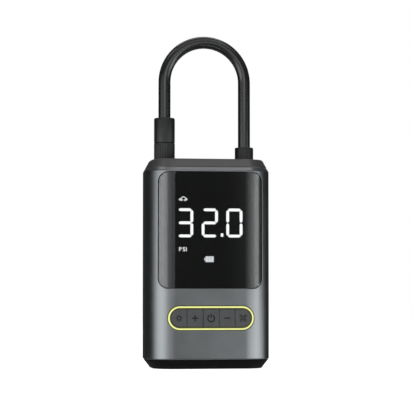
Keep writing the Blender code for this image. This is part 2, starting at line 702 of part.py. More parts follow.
def make_rod():
    swing = axis_empty("rod_axis", (CRANK_X, ROD_Y, WRIST_Z))
    outline = link_outline(ROD_LENGTH, 3.0 * MM, 4.2 * MM)
    flipped = [(x, -z) for x, z in outline]
    at = {"location": (CRANK_X, ROD_Y, WRIST_Z), "along": "Y"}
    half = ROD_THICKNESS / 2
    rod = extruded("connecting_rod", flipped, -half, half, **at)
    small_eye = cylinder("small_eye", 1.8 * MM, -9 * MM, 9 * MM, 16, **at)
    foot = {"location": (CRANK_X, ROD_Y, WRIST_Z - ROD_LENGTH), "along": "Y"}
    big_eye = cylinder("big_eye", 3.3 * MM, -9 * MM, 9 * MM, 20, **foot)
    finish(cut(place(rod, swing), small_eye, big_eye), "cast_aluminium")
    race = [(1.9 * MM, -half), (3.0 * MM, -half), (3.0 * MM, half), (1.9 * MM, half)]
    finish(place(turned("rod_bearing", race, 20, **foot), swing), "brass")


# ---------------------------------------------------------------- hose and nozzle


def hose_route():
    """The hose's own route: out of the collar, over in one arch, and into the nozzle."""
    legs = (126, 136, 147, 158)
    right = [(HOSE_X, HOSE_Y, z * MM) for z in legs]
    arch = []
    for k in range(9):
        angle = math.pi * k / 8
        arch.append((HOSE_X * math.cos(angle), HOSE_Y, HOSE_ARCH_Z + HOSE_X * math.sin(angle)))
    left = [(-HOSE_X, HOSE_Y, z * MM) for z in (158, 150, 142.2)]
    return right + arch + left


def make_hose():
    finish(tube("hose", smooth_route(hose_route(), 2), HOSE_RADIUS, 3), "rubber")


def make_collar():
    at = {"location": (HOSE_X, HOSE_Y, 0)}
    radius = COLLAR_RADIUS
    bore = HOSE_RADIUS + GAP
    top = COLLAR_TOP
    outline = [(radius, 110 * MM), (radius, top - 0.9 * MM), (radius - 0.3 * MM, top - 0.3 * MM)]
    outline += [(radius - 0.9 * MM, top), (bore, top), (bore, 125.6 * MM)]
    outline += [(1.2 * MM, 125.6 * MM), (1.2 * MM, 114 * MM), (2.3 * MM, 114 * MM), (2.3 * MM, 110 * MM)]
    finish(turned("hose_collar", outline, 28, **at), "black_plastic")
    nut = [(5.9, 116.4), (7.8, 116.4), (7.8, 119.6), (5.9, 119.6)]
    nut = [(reach * MM, height * MM) for reach, height in nut]
    finish(turned("collar_nut", nut, 24, **at), "steel")


def make_socket():
    cup = [(0, 106.8), (7.8, 106.8), (7.8, 119.7), (6.6, 119.7), (6.6, 107.9), (0, 107.9)]
    cup = [(radius * MM, height * MM) for radius, height in cup]
    finish(turned("nozzle_socket", cup, 28, location=(-HOSE_X, HOSE_Y, 0)), "rubber")


def ribbed_outline(radius, depth):
    points = []
    for k in range(CHUCK_RIBS):
        for part, reach in ((0.1, radius - depth), (0.3, radius), (0.7, radius), (0.9, radius - depth)):
            angle = 2 * math.pi * (k + part) / CHUCK_RIBS
            points.append((reach * math.cos(angle), reach * math.sin(angle)))
    return points


def make_nozzle():
    at = {"location": (-HOSE_X, HOSE_Y, 0)}
    pull = axis_empty("nozzle_axis", (-HOSE_X, HOSE_Y, CHUCK_LOW))
    radius = NOZZLE_RADIUS
    bore = HOSE_RADIUS + GAP
    top = NOZZLE_TOP
    sleeve = [(3.0 * MM, 121.3 * MM), (3.0 * MM, SLEEVE_JOINT_Z), (radius, SLEEVE_JOINT_Z)]
    sleeve += [(radius, top - 1.1 * MM), (radius - 0.4 * MM, top - 0.3 * MM), (radius - 1.1 * MM, top)]
    sleeve += [(bore, top), (bore, 141.8 * MM), (1.2 * MM, 141.8 * MM), (1.2 * MM, 121.3 * MM)]
    finish(place(turned("nozzle_sleeve", sleeve, 28, **at), pull), "black_plastic")

    top = SLEEVE_JOINT_Z - GAP
    sections = [
        (ribbed_outline(radius - 0.6 * MM, 0.25 * MM), CHUCK_LOW),
        (ribbed_outline(radius, 0.25 * MM), CHUCK_LOW + 0.6 * MM),
        (ribbed_outline(radius, 0.25 * MM), top),
    ]
    nut = place(lofted("chuck_nut", sections, **at), pull)
    thread = [(0, 100), (3.85, 100), (3.85, 121.0), (3.3, 121.0), (3.3, 140), (0, 140)]
    thread = [(reach * MM, height * MM) for reach, height in thread]
    finish(cut(nut, turned("chuck_bore", thread, 24, **at)), "black_plastic")

    seal = [(1.6, 119.3), (3.5, 119.3), (3.5, 120.9), (1.6, 120.9)]
    seal = [(reach * MM, height * MM) for reach, height in seal]
    finish(place(turned("chuck_seal", seal, 20, **at), pull), "rubber")
    pin = cylinder("valve_depressor", 0.7 * MM, 115.6 * MM, 125 * MM, 12, **at)
    finish(place(pin, pull), "brass")


def main():
    clear_scene()
    make_sleeve()
    make_top_cap()
    make_bottom_cap()
    make_feet_and_screws()
    make_display()
    make_light_ring()
    make_buttons()
    make_lamp()
    make_port()
    make_battery()
    make_motor()
    make_crank()
    make_pump_frame()
    make_cylinder()
    make_check_valve()
    make_piston()
    make_rod()
    make_hose()
    make_collar()
    make_socket()
    make_nozzle()


main()
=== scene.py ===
"""The looks of a portable tyre inflator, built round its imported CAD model.

Shapes are drawn in millimetres and become metres as their vertices are made. +Z is up, the
display faces -Y and +X is to its right. Outlines on the front are drawn as (x, z), and an inset
is how far below the sleeve's outer surface a point lies.
"""

import json
import math
from collections import namedtuple

import bmesh
import bpy
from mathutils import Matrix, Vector
from mathutils.geometry import delaunay_2d_cdt


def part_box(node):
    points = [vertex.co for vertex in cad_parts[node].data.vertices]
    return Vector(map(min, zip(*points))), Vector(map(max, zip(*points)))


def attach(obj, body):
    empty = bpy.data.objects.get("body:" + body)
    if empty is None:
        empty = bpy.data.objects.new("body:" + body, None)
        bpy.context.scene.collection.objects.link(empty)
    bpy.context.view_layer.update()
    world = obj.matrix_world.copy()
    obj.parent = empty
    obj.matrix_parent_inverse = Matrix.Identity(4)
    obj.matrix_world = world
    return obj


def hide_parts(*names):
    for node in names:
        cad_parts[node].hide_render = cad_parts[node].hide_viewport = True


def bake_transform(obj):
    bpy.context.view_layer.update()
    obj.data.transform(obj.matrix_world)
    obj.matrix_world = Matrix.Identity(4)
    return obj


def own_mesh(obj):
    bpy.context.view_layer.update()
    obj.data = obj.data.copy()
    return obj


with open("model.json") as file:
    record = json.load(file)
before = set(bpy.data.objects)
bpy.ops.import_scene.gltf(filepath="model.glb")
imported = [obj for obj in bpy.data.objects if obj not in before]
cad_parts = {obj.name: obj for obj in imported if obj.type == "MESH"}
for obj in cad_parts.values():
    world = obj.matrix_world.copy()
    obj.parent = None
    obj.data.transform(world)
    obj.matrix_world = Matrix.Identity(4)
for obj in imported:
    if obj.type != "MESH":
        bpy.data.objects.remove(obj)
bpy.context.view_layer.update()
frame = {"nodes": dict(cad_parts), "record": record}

MM = 0.001
WELD = 2e-7  # how close two vertices are one, in metres
SLACK = 0.004  # how far past an outline a triangle that belongs inside it may seem to be


def box_mm(node):
    """A CAD node's lowest and highest corners, in millimetres."""
    low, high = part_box(node)
    return low / MM, high / MM


def middle_of(low, high):
    return ((low.x + high.x) / 2, (low.y + high.y) / 2)


def half_of(low, high, more=0.0):
    return ((high.x - low.x) / 2 + more, (high.y - low.y) / 2 + more)


# ---- sizes

sleeve_low, sleeve_high = box_mm("shell_sleeve")
window_low, window_high = box_mm("display_window")
ring_low, ring_high = box_mm("light_ring")
hose_low, hose_high = box_mm("hose")
collar_low, collar_high = box_mm("hose_collar")
nozzle_low, nozzle_high = box_mm("nozzle_sleeve")
chuck_low, chuck_high = box_mm("chuck_nut")
top_low, top_high = box_mm("top_cap")
base_low, base_high = box_mm("bottom_cap")
lens_low, lens_high = box_mm("lamp_lens")

HALF_WIDTH = sleeve_high.x
HALF_DEPTH = sleeve_high.y
CORNER = 16.5  # outer corner radius of the housing, seen from above
FLAT_X = HALF_WIDTH - CORNER
FLAT_Y = HALF_DEPTH - CORNER
WALL = 2.0
GAP = 0.3
CORNER_STEPS = 24
QUARTER = CORNER * math.pi / 2
HALF_ROUND = 2 * FLAT_X + 2 * QUARTER + 2 * FLAT_Y  # halfway round the housing

WINDOW_CENTRE = (0.0, (window_low.z + window_high.z) / 2)
WINDOW_HALF = (window_high.x + GAP, (window_high.z - window_low.z) / 2 + GAP)
WINDOW_CORNER = 6.0
PAD_WIDER = 0.2  # how much further out the visible ring reaches than the CAD's
PAD_CENTRE = (0.0, (ring_low.z + ring_high.z) / 2)
PAD_HALF = (ring_high.x + GAP + PAD_WIDER, (ring_high.z - ring_low.z) / 2 + GAP)
RING_WIDTH = 1.5
BUTTONS = ("light", "plus", "power", "minus", "mode")
BUTTON_BACK = -19.5
SHOULDER = 115.1
TOP_SLOPE = 3.2 / 5.9  # how far the shoulder comes in for each unit of height

CAD_HOSE_RADIUS = 3.5
HOSE_X = hose_high.x - CAD_HOSE_RADIUS
HOSE_Y = (collar_low.y + collar_high.y) / 2
HOSE_RADIUS = 3.58
PASSAGE = 1.2  # radius of the air passage through the collar and the nozzle
ARCH_LIFT = 0.2  # how much higher the arch's middle line is than the CAD's
HOSE_LOW = hose_low.z
BORE_FLOOR = 141.8  # how high the nozzle's bore for the hose begins
HOSE_END = BORE_FLOOR + 0.4
ARCH_Z = hose_high.z - (CAD_HOSE_RADIUS - ARCH_LIFT) - HOSE_X


# ---- camera

CAMERA_AROUND = math.radians(8.36)
CAMERA_HEADING = math.radians(8.375)
CAMERA_DISTANCE = 1.0353
CAMERA_HEIGHT = 0.04697
CAMERA_TILT = math.radians(2.672)
CAMERA_LENS = 153.18


def make_camera():
    data = bpy.data.cameras.new("camera")
    data.lens = CAMERA_LENS
    data.sensor_width = 36.0
    camera = bpy.data.objects.new("camera", data)
    bpy.context.scene.collection.objects.link(camera)
    x = -CAMERA_DISTANCE * math.sin(CAMERA_AROUND)
    y = -CAMERA_DISTANCE * math.cos(CAMERA_AROUND)
    camera.location = (x, y, CAMERA_HEIGHT)
    camera.rotation_euler = (math.pi / 2 + CAMERA_TILT, 0, -CAMERA_HEADING)
    bpy.context.scene.camera = camera


# ---- materials


def connect(tree, value, socket):
    """Sets a socket to a number or vector, or links another node's output to it."""
    if isinstance(value, bpy.types.NodeSocket):
        tree.links.new(value, socket)
    else:
        socket.default_value = value


def result_of(tree, kind, *values, operation=None):
    """The output of a new node whose first inputs have these values."""
    node = tree.nodes.new(f"ShaderNode{kind}")
    if operation is not None:
        node.operation = operation
    for socket, value in zip(node.inputs, values):
        connect(tree, value, socket)
    return node.outputs[0]


def attribute_value(tree, name):
    node = tree.nodes.new("ShaderNodeAttribute")
    node.attribute_name = name
    return node.outputs["Fac"]


def noise(tree, size, detail=2.0, stretch=None):
    """Noise whose features are about size millimetres across, from 0 to 1."""
    place = tree.nodes.new("ShaderNodeTexCoord").outputs["Object"]
    if stretch is not None:
        mapping = tree.nodes.new("ShaderNodeMapping")
        connect(tree, place, mapping.inputs["Vector"])
        connect(tree, stretch, mapping.inputs["Scale"])
        place = mapping.outputs["Vector"]
    node = tree.nodes.new("ShaderNodeTexNoise")
    connect(tree, place, node.inputs["Vector"])
    connect(tree, 1 / (size * MM), node.inputs["Scale"])
    connect(tree, detail, node.inputs["Detail"])
    return node.outputs["Fac"]


def spread_out(tree, value, low, high):
    """Turns noise's middle values into the range from low to high."""
    return result_of(tree, "MapRange", value, 0.33, 0.67, low, high)


def blended(tree, factor, first, second):
    """A colour between two others, each a colour or another node's output."""
    node = tree.nodes.new("ShaderNodeMix")
    node.data_type = "RGBA"
    connect(tree, factor, node.inputs["Factor"])
    for name, colour in (("A", first), ("B", second)):
        socket = [s for s in node.inputs if s.name == name and s.type == "RGBA"][0]
        connect(tree, (*colour, 1.0) if isinstance(colour, tuple) else colour, socket)
    return [s for s in node.outputs if s.type == "RGBA"][0]


def surface(name, dark, light, roughness, patch=6.0, grain=0.25, bump=0.1, worn=None,
            stretch=None, **constants):
    """A moulded, cast or coated finish.

    The colour wanders between dark and light in patches and grains of those sizes, in
    millimetres. bump is the grain's depth. worn is the colour that edges rub to, where the
    mesh has the attribute edge. Other values go straight to the shader.
    """
    made = bpy.data.materials.new(name)
    made.use_nodes = True
    tree = made.node_tree
    shader = tree.nodes["Principled BSDF"]
    broad = noise(tree, patch, 3.0)
    fine = noise(tree, grain, 2.0, stretch)
    half = result_of(tree, "Math", fine, 0.5, operation="MULTIPLY")
    both = result_of(tree, "Math", broad, 0.5, half, operation="MULTIPLY_ADD")
    colour = blended(tree, spread_out(tree, both, 0.0, 1.0), dark, light)
    if worn is not None:
        share = spread_out(tree, broad, 0.25, 0.8)
        rubbed = result_of(
            tree, "Math", attribute_value(tree, "edge"), share, operation="MULTIPLY")
        colour = blended(tree, rubbed, colour, worn)
    connect(tree, colour, shader.inputs["Base Color"])
    connect(tree, spread_out(tree, both, *roughness), shader.inputs["Roughness"])
    if bump:
        relief = tree.nodes.new("ShaderNodeBump")
        relief.inputs["Strength"].default_value = 1.0
        relief.inputs["Distance"].default_value = bump * MM
        connect(tree, fine, relief.inputs["Height"])
        connect(tree, relief.outputs["Normal"], shader.inputs["Normal"])
    for socket, value in constants.items():
        shader.inputs[socket.replace("_", " ")].default_value = value
    return made


def glowing(name, colour, strength, edge_share, base=(0.3, 0.3, 0.3)):
    """A lit piece. Its brightness wanders a little, and falls off where its glow does."""
    made = surface(name, base, tuple(c * 1.1 for c in base), (0.3, 0.4), 3.0, 0.4, 0.0)
    tree = made.node_tree
    shader = tree.nodes["Principled BSDF"]
    shader.inputs["Emission Color"].default_value = (*colour, 1.0)
    level = spread_out(tree, noise(tree, 2.5), strength * 0.96, strength * 1.04)
    glow = attribute_value(tree, "glow")
    share = result_of(tree, "MapRange", glow, 0.0, 1.0, edge_share, 1.0)
    level = result_of(tree, "Math", level, share, operation="MULTIPLY")
    connect(tree, level, shader.inputs["Emission Strength"])
    return made


# Short name, name, two colours, the range of roughness, the sizes of patches and grains in
# millimetres, the depth of the grain, and what else the finish has.
FINISHES = (
    ("metal", "anodised_metal", (0.205, 0.213, 0.219), (0.235, 0.243, 0.249), (0.28, 0.34), 9.0,
     0.16, 0.005, dict(worn=(0.30, 0.31, 0.315), Metallic=1.0)),
    ("cap", "cap_plastic", (0.026, 0.026, 0.0263), (0.036, 0.036, 0.0365), (0.38, 0.46), 5.0,
     0.22, 0.012, dict(worn=(0.06, 0.06, 0.06), IOR=1.9)),
    ("base", "base_plastic", (0.0025, 0.0025, 0.0026), (0.004, 0.004, 0.0042), (0.5, 0.6), 5.0,
     0.22, 0.012, dict(worn=(0.02, 0.02, 0.02), IOR=1.25)),
    ("nozzle", "nozzle_plastic", (0.006, 0.0062, 0.0063), (0.009, 0.0092, 0.0094), (0.36, 0.46),
     4.0, 0.2, 0.01, dict(worn=(0.04, 0.04, 0.04))),
    ("rubber", "hose_rubber", (0.007, 0.007, 0.0074), (0.010, 0.010, 0.0105), (0.20, 0.24), 7.0,
     0.18, 0.0012, dict(stretch=(1, 1, 0.35), IOR=1.65)),
    ("soft", "soft_rubber", (0.018, 0.018, 0.018), (0.03, 0.03, 0.03), (0.6, 0.75), 3.0, 0.2,
     0.02, {}),
    # painted shade: the black seal that fills the shaded gap round the window glass
    ("shade_filler", "shade_filler_rubber", (0.004, 0.004, 0.004), (0.007, 0.007, 0.007), (0.6, 0.75), 2.0, 0.2,
     0.004, {}),
    ("glass", "smoked_glass", (0.72, 0.73, 0.74), (0.76, 0.77, 0.78), (0.0, 0.003), 30.0, 8.0,
     0.0, dict(Transmission_Weight=1.0, IOR=1.62)),
    ("mask", "mask_print", (0.004, 0.004, 0.0042), (0.006, 0.006, 0.0062), (0.6, 0.7), 12.0, 0.3,
     0.002, dict(IOR=1.05)),
    ("button", "button_plastic", (0.07, 0.071, 0.073), (0.083, 0.084, 0.086), (0.38, 0.48), 4.0,
     0.2, 0.008, dict(worn=(0.16, 0.16, 0.16))),
    ("sign_ink", "button_ink", (0.003, 0.003, 0.0032), (0.006, 0.006, 0.0062), (0.6, 0.7), 1.0,
     0.1, 0.002, dict(IOR=1.3)),
    ("lens", "lamp_lens_clear", (0.90, 0.92, 0.93), (0.94, 0.96, 0.97), (0.04, 0.1), 2.0, 0.3,
     0.004, dict(Transmission_Weight=1.0, IOR=1.49)),
    ("steel", "steel", (0.42, 0.43, 0.44), (0.55, 0.56, 0.57), (0.22, 0.34), 3.0, 0.12, 0.006,
     dict(stretch=(1, 1, 12), Metallic=1.0)),
    ("cast", "cast_metal", (0.38, 0.39, 0.40), (0.52, 0.53, 0.54), (0.45, 0.6), 2.5, 0.5, 0.05,
     dict(Metallic=1.0)),
    ("brass", "brass", (0.56, 0.38, 0.14), (0.7, 0.5, 0.22), (0.22, 0.36), 2.5, 0.15, 0.005,
     dict(stretch=(1, 10, 1), Metallic=1.0)),
    ("board", "circuit_board", (0.004, 0.05, 0.018), (0.012, 0.11, 0.04), (0.28, 0.4), 1.6, 0.5,
     0.03, dict(stretch=(1, 1, 6))),
    ("white", "white_plastic", (0.55, 0.55, 0.53), (0.66, 0.66, 0.64), (0.35, 0.5), 4.0, 0.3,
     0.01, {}),
    ("moulding", "grey_moulding", (0.035, 0.035, 0.037), (0.06, 0.06, 0.063), (0.4, 0.55), 4.0,
     0.3, 0.02, {}),
    ("wrap", "cell_wrap", (0.008, 0.045, 0.13), (0.02, 0.08, 0.2), (0.22, 0.36), 6.0, 1.2, 0.02,
     dict(Coat_Weight=0.4)),
    ("wire", "wire_insulation", (0.32, 0.012, 0.012), (0.45, 0.02, 0.02), (0.35, 0.5), 3.0, 0.4,
     0.02, {}),
)
LOOKS = {}  # every material by its short name


def make_materials():
    for short, name, *values, more in FINISHES:
        LOOKS[short] = surface(name, *values, **more)
    LOOKS["digit"] = glowing("lit_digit", (1.0, 1.0, 1.0), 1.35, 0.75)
    LOOKS["sign"] = glowing("lit_sign", (0.9, 0.92, 0.93), 0.95, 0.8)
    LOOKS["ring"] = glowing("lit_ring", (0.80, 0.84, 0.30), 1.15, 0.03, (0.12, 0.11, 0.03))


# ---- mesh helpers


SLOTS = {part["node"]: part["material_slot"] for part in frame["record"]["subparts"]}


def finish_piece(name, shape, look, node=None, body="housing", slot=None, sharp=34, **marks):
    """Welds a bmesh into a piece that rides on a body, and may take a CAD node's place.

    It has its look's material, and slot is not used. Each mark is an attribute, a
    function of the place in millimetres.
    """
    bmesh.ops.remove_doubles(shape, verts=shape.verts, dist=WELD)
    bmesh.ops.recalc_face_normals(shape, faces=shape.faces)
    mesh = bpy.data.meshes.new(name)
    shape.to_mesh(mesh)
    shape.free()
    mesh.shade_smooth()
    mesh.set_sharp_from_angle(angle=math.radians(sharp))
    mesh.materials.append(LOOKS[look])
    for key, function in marks.items():
        layer = mesh.attributes.new(key, "FLOAT", "POINT")
        for vertex, item in zip(mesh.vertices, layer.data):
            item.value = function(vertex.co / MM)
    obj = bpy.data.objects.new(name, mesh)
    bpy.context.scene.collection.objects.link(obj)
    if body is not None:
        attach(obj, body)
    slot or SLOTS[node]
    if node is not None:
        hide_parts(node)
    return obj


def add_points(shape, points):
    return [shape.verts.new(Vector(point) * MM) for point in points]


def add_rings(shape, rings, closed=False, capped=False):
    """A band through rings of as many points.

    Closed joins the last ring to the first. Capped closes both ends.
    """
    made = [add_points(shape, ring) for ring in rings]
    pairs = list(zip(made, made[1:]))
    if closed:
        pairs.append((made[-1], made[0]))
    for first, second in pairs:
        for k in range(len(first)):
            n = (k + 1) % len(first)
            shape.faces.new((first[k], first[n], second[n], second[k]))
    if capped:
        shape.faces.new(made[0])
        shape.faces.new(made[-1])


def add_sheet(shape, corners, faces, place):
    """Triangles, with each corner where place puts it. Gives back their vertices."""
    used = sorted({k for face in faces for k in face})
    made = dict(zip(used, add_points(shape, [place(corners[k]) for k in used])))
    for face in faces:
        shape.faces.new([made[k] for k in face])
    return made


MOST_REACH = 0.46  # the most of a side that a rounded corner may take


def softened(points, reaches, steps=4, closed=True):
    """Rounds the corners of an outline. Each point has its own reach."""
    count = len(points)
    result = []
    for k, point in enumerate(points):
        here = Vector(point)
        back = Vector(points[k - 1]) - here
        ahead = Vector(points[(k + 1) % count]) - here
        near = min(reaches[k], back.length * MOST_REACH, ahead.length * MOST_REACH)
        if near <= 0 or (not closed and k in (0, count - 1)):
            result.append(tuple(here))
            continue
        start = here + back.normalized() * near
        end = here + ahead.normalized() * near
        for i in range(steps + 1):
            t = i / steps
            result.append(tuple(start * (1 - t) ** 2 + here * 2 * t * (1 - t) + end * t * t))
    return result


def smooth(t):
    t = min(max(t, 0.0), 1.0)
    return t * t * (3 - 2 * t)


def circle(radius, centre, steps=64):
    angles = (2 * math.pi * k / steps for k in range(steps))
    return [(centre[0] + radius * math.cos(a), centre[1] + radius * math.sin(a)) for a in angles]


def rounded_rectangle(half, radius, centre=(0.0, 0.0), steps=10):
    points = []
    for quarter, (sx, sy) in enumerate(((1, 1), (-1, 1), (-1, -1), (1, -1))):
        for k in range(steps + 1):
            angle = math.pi / 2 * (quarter + k / steps)
            x = centre[0] + sx * (half[0] - radius) + radius * math.cos(angle)
            y = centre[1] + sy * (half[1] - radius) + radius * math.sin(angle)
            if not points or math.hypot(x - points[-1][0], y - points[-1][1]) > 1e-4:
                points.append((x, y))
    return points


def inside_by(point, centre, half, radius):
    """How far a point is inside a rounded rectangle. It is negative outside."""
    dx = abs(point[0] - centre[0]) - (half[0] - radius)
    dy = abs(point[1] - centre[1]) - (half[1] - radius)
    return radius - math.hypot(max(dx, 0), max(dy, 0)) - min(max(dx, dy), 0)


def drop(distance, width):
    """How far a rounded edge falls away at a distance from the edge."""
    if distance >= width:
        return 0.0
    return width - math.sqrt(max(width ** 2 - (width - max(distance, 0)) ** 2, 0))


def rubbed(distance, reach):
    """How worn a place is, by how far it is from an edge."""
    return math.exp(-(max(distance, 0) / reach) ** 2)


def turned(profile, centre, steps=64):
    """A solid turned about a vertical line. The profile is (radius, height) all round it."""
    shape = bmesh.new()
    rings = []
    for radius, height in profile:
        rings.append([(x, y, height) for x, y in circle(radius, centre, steps)])
    on_axis = profile[0][0] == 0 and profile[-1][0] == 0
    add_rings(shape, rings, closed=not on_axis)
    return shape


def triangles(loops, keep, lines=(), dots=()):
    """Triangles with every loop and line among their edges. keep says which ones stay."""
    points = []
    edges = []
    for loop in loops:
        first = len(points)
        points.extend(loop)
        edges.extend((first + k, first + (k + 1) % len(loop)) for k in range(len(loop)))
    for line in lines:
        first = len(points)
        points.extend(line)
        edges.extend((k, k + 1) for k in range(first, first + len(line) - 1))
    points.extend(dots)
    made = delaunay_2d_cdt([Vector(p) for p in points], edges, [], 0, 1e-5, False)
    corners = made[0]
    kept = []
    for face in made[2]:
        middle = sum((corners[k] for k in face), Vector((0, 0))) / len(face)
        if keep(middle):
            kept.append(tuple(face))
    return corners, kept


def slab(corners, faces, front, back, seam=None):
    """The same triangles in front and behind, and a wall along every border edge."""
    shape = bmesh.new()
    outer = add_sheet(shape, corners, faces, front)
    inner = add_sheet(shape, corners, faces, back)
    sides = {}
    for face in faces:
        for k in range(len(face)):
            pair = (face[k], face[(k + 1) % len(face)])
            key = tuple(sorted(pair))
            sides[key] = None if key in sides else pair
    for pair in sides.values():
        if pair is None:
            continue
        a, b = pair
        if seam is not None and seam(corners[a]) and seam(corners[b]):
            continue
        shape.faces.new((outer[b], outer[a], inner[a], inner[b]))
    return shape


def even_odd(loops, point):
    """Whether a point is inside loops that may lie one within the other."""
    inside = False
    x, y = point
    for loop in loops:
        for k, (ax, ay) in enumerate(loop):
            bx, by = loop[k - 1]
            if (ay > y) != (by > y) and x < ax + (y - ay) * (bx - ax) / (by - ay):
                inside = not inside
    return inside


def stroke(path, width, closed=False, cap_steps=6):
    """The outline of a pen stroke, as loops. An open one has round ends."""
    points = [Vector(p) for p in path]
    count = len(points)
    sides = ([], [])
    for k, here in enumerate(points):
        ahead = points[(k + 1) % count] if closed or k + 1 < count else None
        behind = points[k - 1] if closed or k > 0 else None
        run = ((ahead or here) - (behind or here)).normalized()
        across = Vector((-run.y, run.x)) * width / 2
        sides[0].append(tuple(here + across))
        sides[1].append(tuple(here - across))
    if closed:
        return [sides[0], sides[1]]
    loop = list(sides[0])
    for end, turn in ((points[-1], 1), (points[0], -1)):
        other = points[-2] if turn == 1 else points[1]
        run = (end - other).normalized()
        start = math.atan2(run.y, run.x) + math.pi / 2
        for k in range(1, cap_steps):
            angle = start - math.pi * k / cap_steps
            loop.append((end.x + width / 2 * math.cos(angle), end.y + width / 2 * math.sin(angle)))
        if turn == 1:
            loop.extend(reversed(sides[1]))
    return [loop]


def flat_shape(strokes, front, back):
    """Raises outlines, each a list of loops, into one slab. Where they cross they are joined."""
    loops = [loop for stroke_loops in strokes for loop in stroke_loops]

    def keep(point):
        return any(even_odd(stroke_loops, point) for stroke_loops in strokes)

    corners, faces = triangles(loops, keep)
    return slab(corners, faces, front, back)


# ---- the housing's own geometry


def around(s, inset):
    """A point on the housing's outline, at length s from the middle of the front."""
    side = 1 if s >= 0 else -1
    radius = CORNER - inset
    s = abs(s)
    if s <= FLAT_X:
        return (side * s, -HALF_DEPTH + inset)
    s -= FLAT_X
    if s <= QUARTER:
        angle = s / CORNER
        return (side * (FLAT_X + radius * math.sin(angle)), -FLAT_Y - radius * math.cos(angle))
    s -= QUARTER
    if s <= 2 * FLAT_Y:
        return (side * (HALF_WIDTH - inset), -FLAT_Y + s)
    s -= 2 * FLAT_Y
    if s <= QUARTER:
        angle = s / CORNER
        return (side * (FLAT_X + radius * math.cos(angle)), FLAT_Y + radius * math.sin(angle))
    s -= QUARTER
    return (side * (FLAT_X - s), HALF_DEPTH - inset)


def length_at(x):
    """How far round the housing an x on its front or front corners is."""
    if abs(x) <= FLAT_X:
        return x
    return math.copysign(FLAT_X + CORNER * math.asin((abs(x) - FLAT_X) / CORNER), x)


def facing(x, z, inset):
    """A point below the curved front, straight behind (x, z)."""
    if abs(x) <= FLAT_X:
        return (x, -HALF_DEPTH + inset, z)
    radius = CORNER - inset
    reach = min(abs(x) - FLAT_X, radius)
    return (x, -FLAT_Y - math.sqrt(radius ** 2 - reach ** 2), z)


def section(inset, z):
    """The housing's outline from above, at a height, moved in by inset."""
    half = (HALF_WIDTH - inset, HALF_DEPTH - inset)
    return [(x, y, z) for x, y in rounded_rectangle(half, CORNER - inset, steps=CORNER_STEPS)]


class Opening:
    """A rounded opening in the front of the sleeve, drawn as (x, z)."""

    def __init__(self, centre, half, corner):
        self.centre = centre
        self.half = half
        self.corner = corner

    def grown(self, more):
        return (self.half[0] + more, self.half[1] + more)

    def inside(self, point, more=0.0):
        """How far a point is inside the opening, grown by more. It is negative outside."""
        return inside_by(point, self.centre, self.grown(more), self.corner + more)

    def loop(self, more, steps=14):
        half = self.grown(more)
        return rounded_rectangle(half, min(self.corner + more, half[1] - 1e-4), self.centre, steps)


window = Opening(WINDOW_CENTRE, WINDOW_HALF, WINDOW_CORNER)
pad = Opening(PAD_CENTRE, PAD_HALF, PAD_HALF[1])


def front_columns(low, high, limit, pieces=1):
    """Upright lines on the front's round corners, where a piece has to bend."""
    heights = [low + (high - low) * k / pieces for k in range(pieces + 1)]
    lines = []
    for k in range(CORNER_STEPS + 1):
        x = FLAT_X + CORNER * math.sin(math.pi / 2 * k / CORNER_STEPS)
        if x < limit:
            for side in (-1, 1):
                lines.append([(side * x, z) for z in heights])
    return lines


# ---- sleeve

EDGE = 0.1  # rounding of the sleeve's openings
EDGE_LOOPS = (0.0, 0.02, 0.06, EDGE, 0.4)
SWING = 12.0  # within this of an opening, the sleeve's back turns to lie straight behind its front
OPENINGS_REACH = 33.0  # no opening is further than this from the middle of the front


def rim_inset(z):
    """How far in the sleeve's outer surface is at a height."""
    if z < SLEEVE_ROWS[3]:
        return drop(z - sleeve_low.z, 0.45) * 0.9
    top = max(z - SHOULDER, 0) * TOP_SLOPE
    return top + drop(sleeve_high.z - z, 0.3) * 0.8


SLEEVE_ROWS = (
    5.5, 5.56, 5.7, 5.95, 6.6, 60.0, 114.7, SHOULDER, 115.5, 116.8, 116.9, 117.02, 117.1,
)


def aperture_distance(s, z):
    """How far a point is outside the nearest opening in the sleeve."""
    if abs(s) > FLAT_X + QUARTER * 0.9:
        return 50.0
    point = (around(s, 0)[0], z)
    return -max(window.inside(point), pad.inside(point))


def make_sleeve():
    def front(point):
        s, z = point
        inset = rim_inset(z) + drop(aperture_distance(s, z), EDGE)
        return (*around(s, inset), z)

    def back(point):
        s, z = point
        distance = max(aperture_distance(s, z), 0)
        if FLAT_X < abs(s) < FLAT_X + QUARTER and distance < SWING:
            angle = (abs(s) - FLAT_X) / CORNER
            straight = math.asin(min(CORNER * math.sin(angle) / (CORNER - WALL), 1))
            angle += (straight - angle) * (1 - distance / SWING)
            s = math.copysign(FLAT_X + CORNER * angle, s)
        return (*around(s, WALL), z)

    loops = []
    for more in EDGE_LOOPS:
        loops.append([(length_at(x), z) for x, z in window.loop(more)])
        loops.append([(length_at(x), z) for x, z in pad.loop(more, 24)])
    columns = {0.0, HALF_ROUND}
    for k in range(CORNER_STEPS + 1):
        columns.add(FLAT_X + QUARTER * k / CORNER_STEPS)
        columns.add(FLAT_X + QUARTER + 2 * FLAT_Y + QUARTER * k / CORNER_STEPS)
    low, high = SLEEVE_ROWS[0], SLEEVE_ROWS[-1]
    lines = []
    for s in sorted(columns):
        lines.append([(s, low), (s, high)])
        if s:
            lines.append([(-s, low), (-s, high)])
    for z in SLEEVE_ROWS:
        lines.append([(-HALF_ROUND, z), (HALF_ROUND, z)])
    corners, faces = triangles(loops, lambda p: aperture_distance(*p) > -SLACK, lines)
    shape = slab(corners, faces, front, back, lambda p: abs(abs(p.x) - HALF_ROUND) < 1e-3)

    def edge(place):
        x, y, z = place
        near = [z - sleeve_low.z, sleeve_high.z - z]
        if y <= 0 and abs(x) <= OPENINGS_REACH:
            near += [-window.inside((x, z)), -pad.inside((x, z))]
        return rubbed(min(near), 0.22)

    finish_piece("sleeve_shell", shape, "metal", "shell_sleeve", edge=edge)


# ---- caps


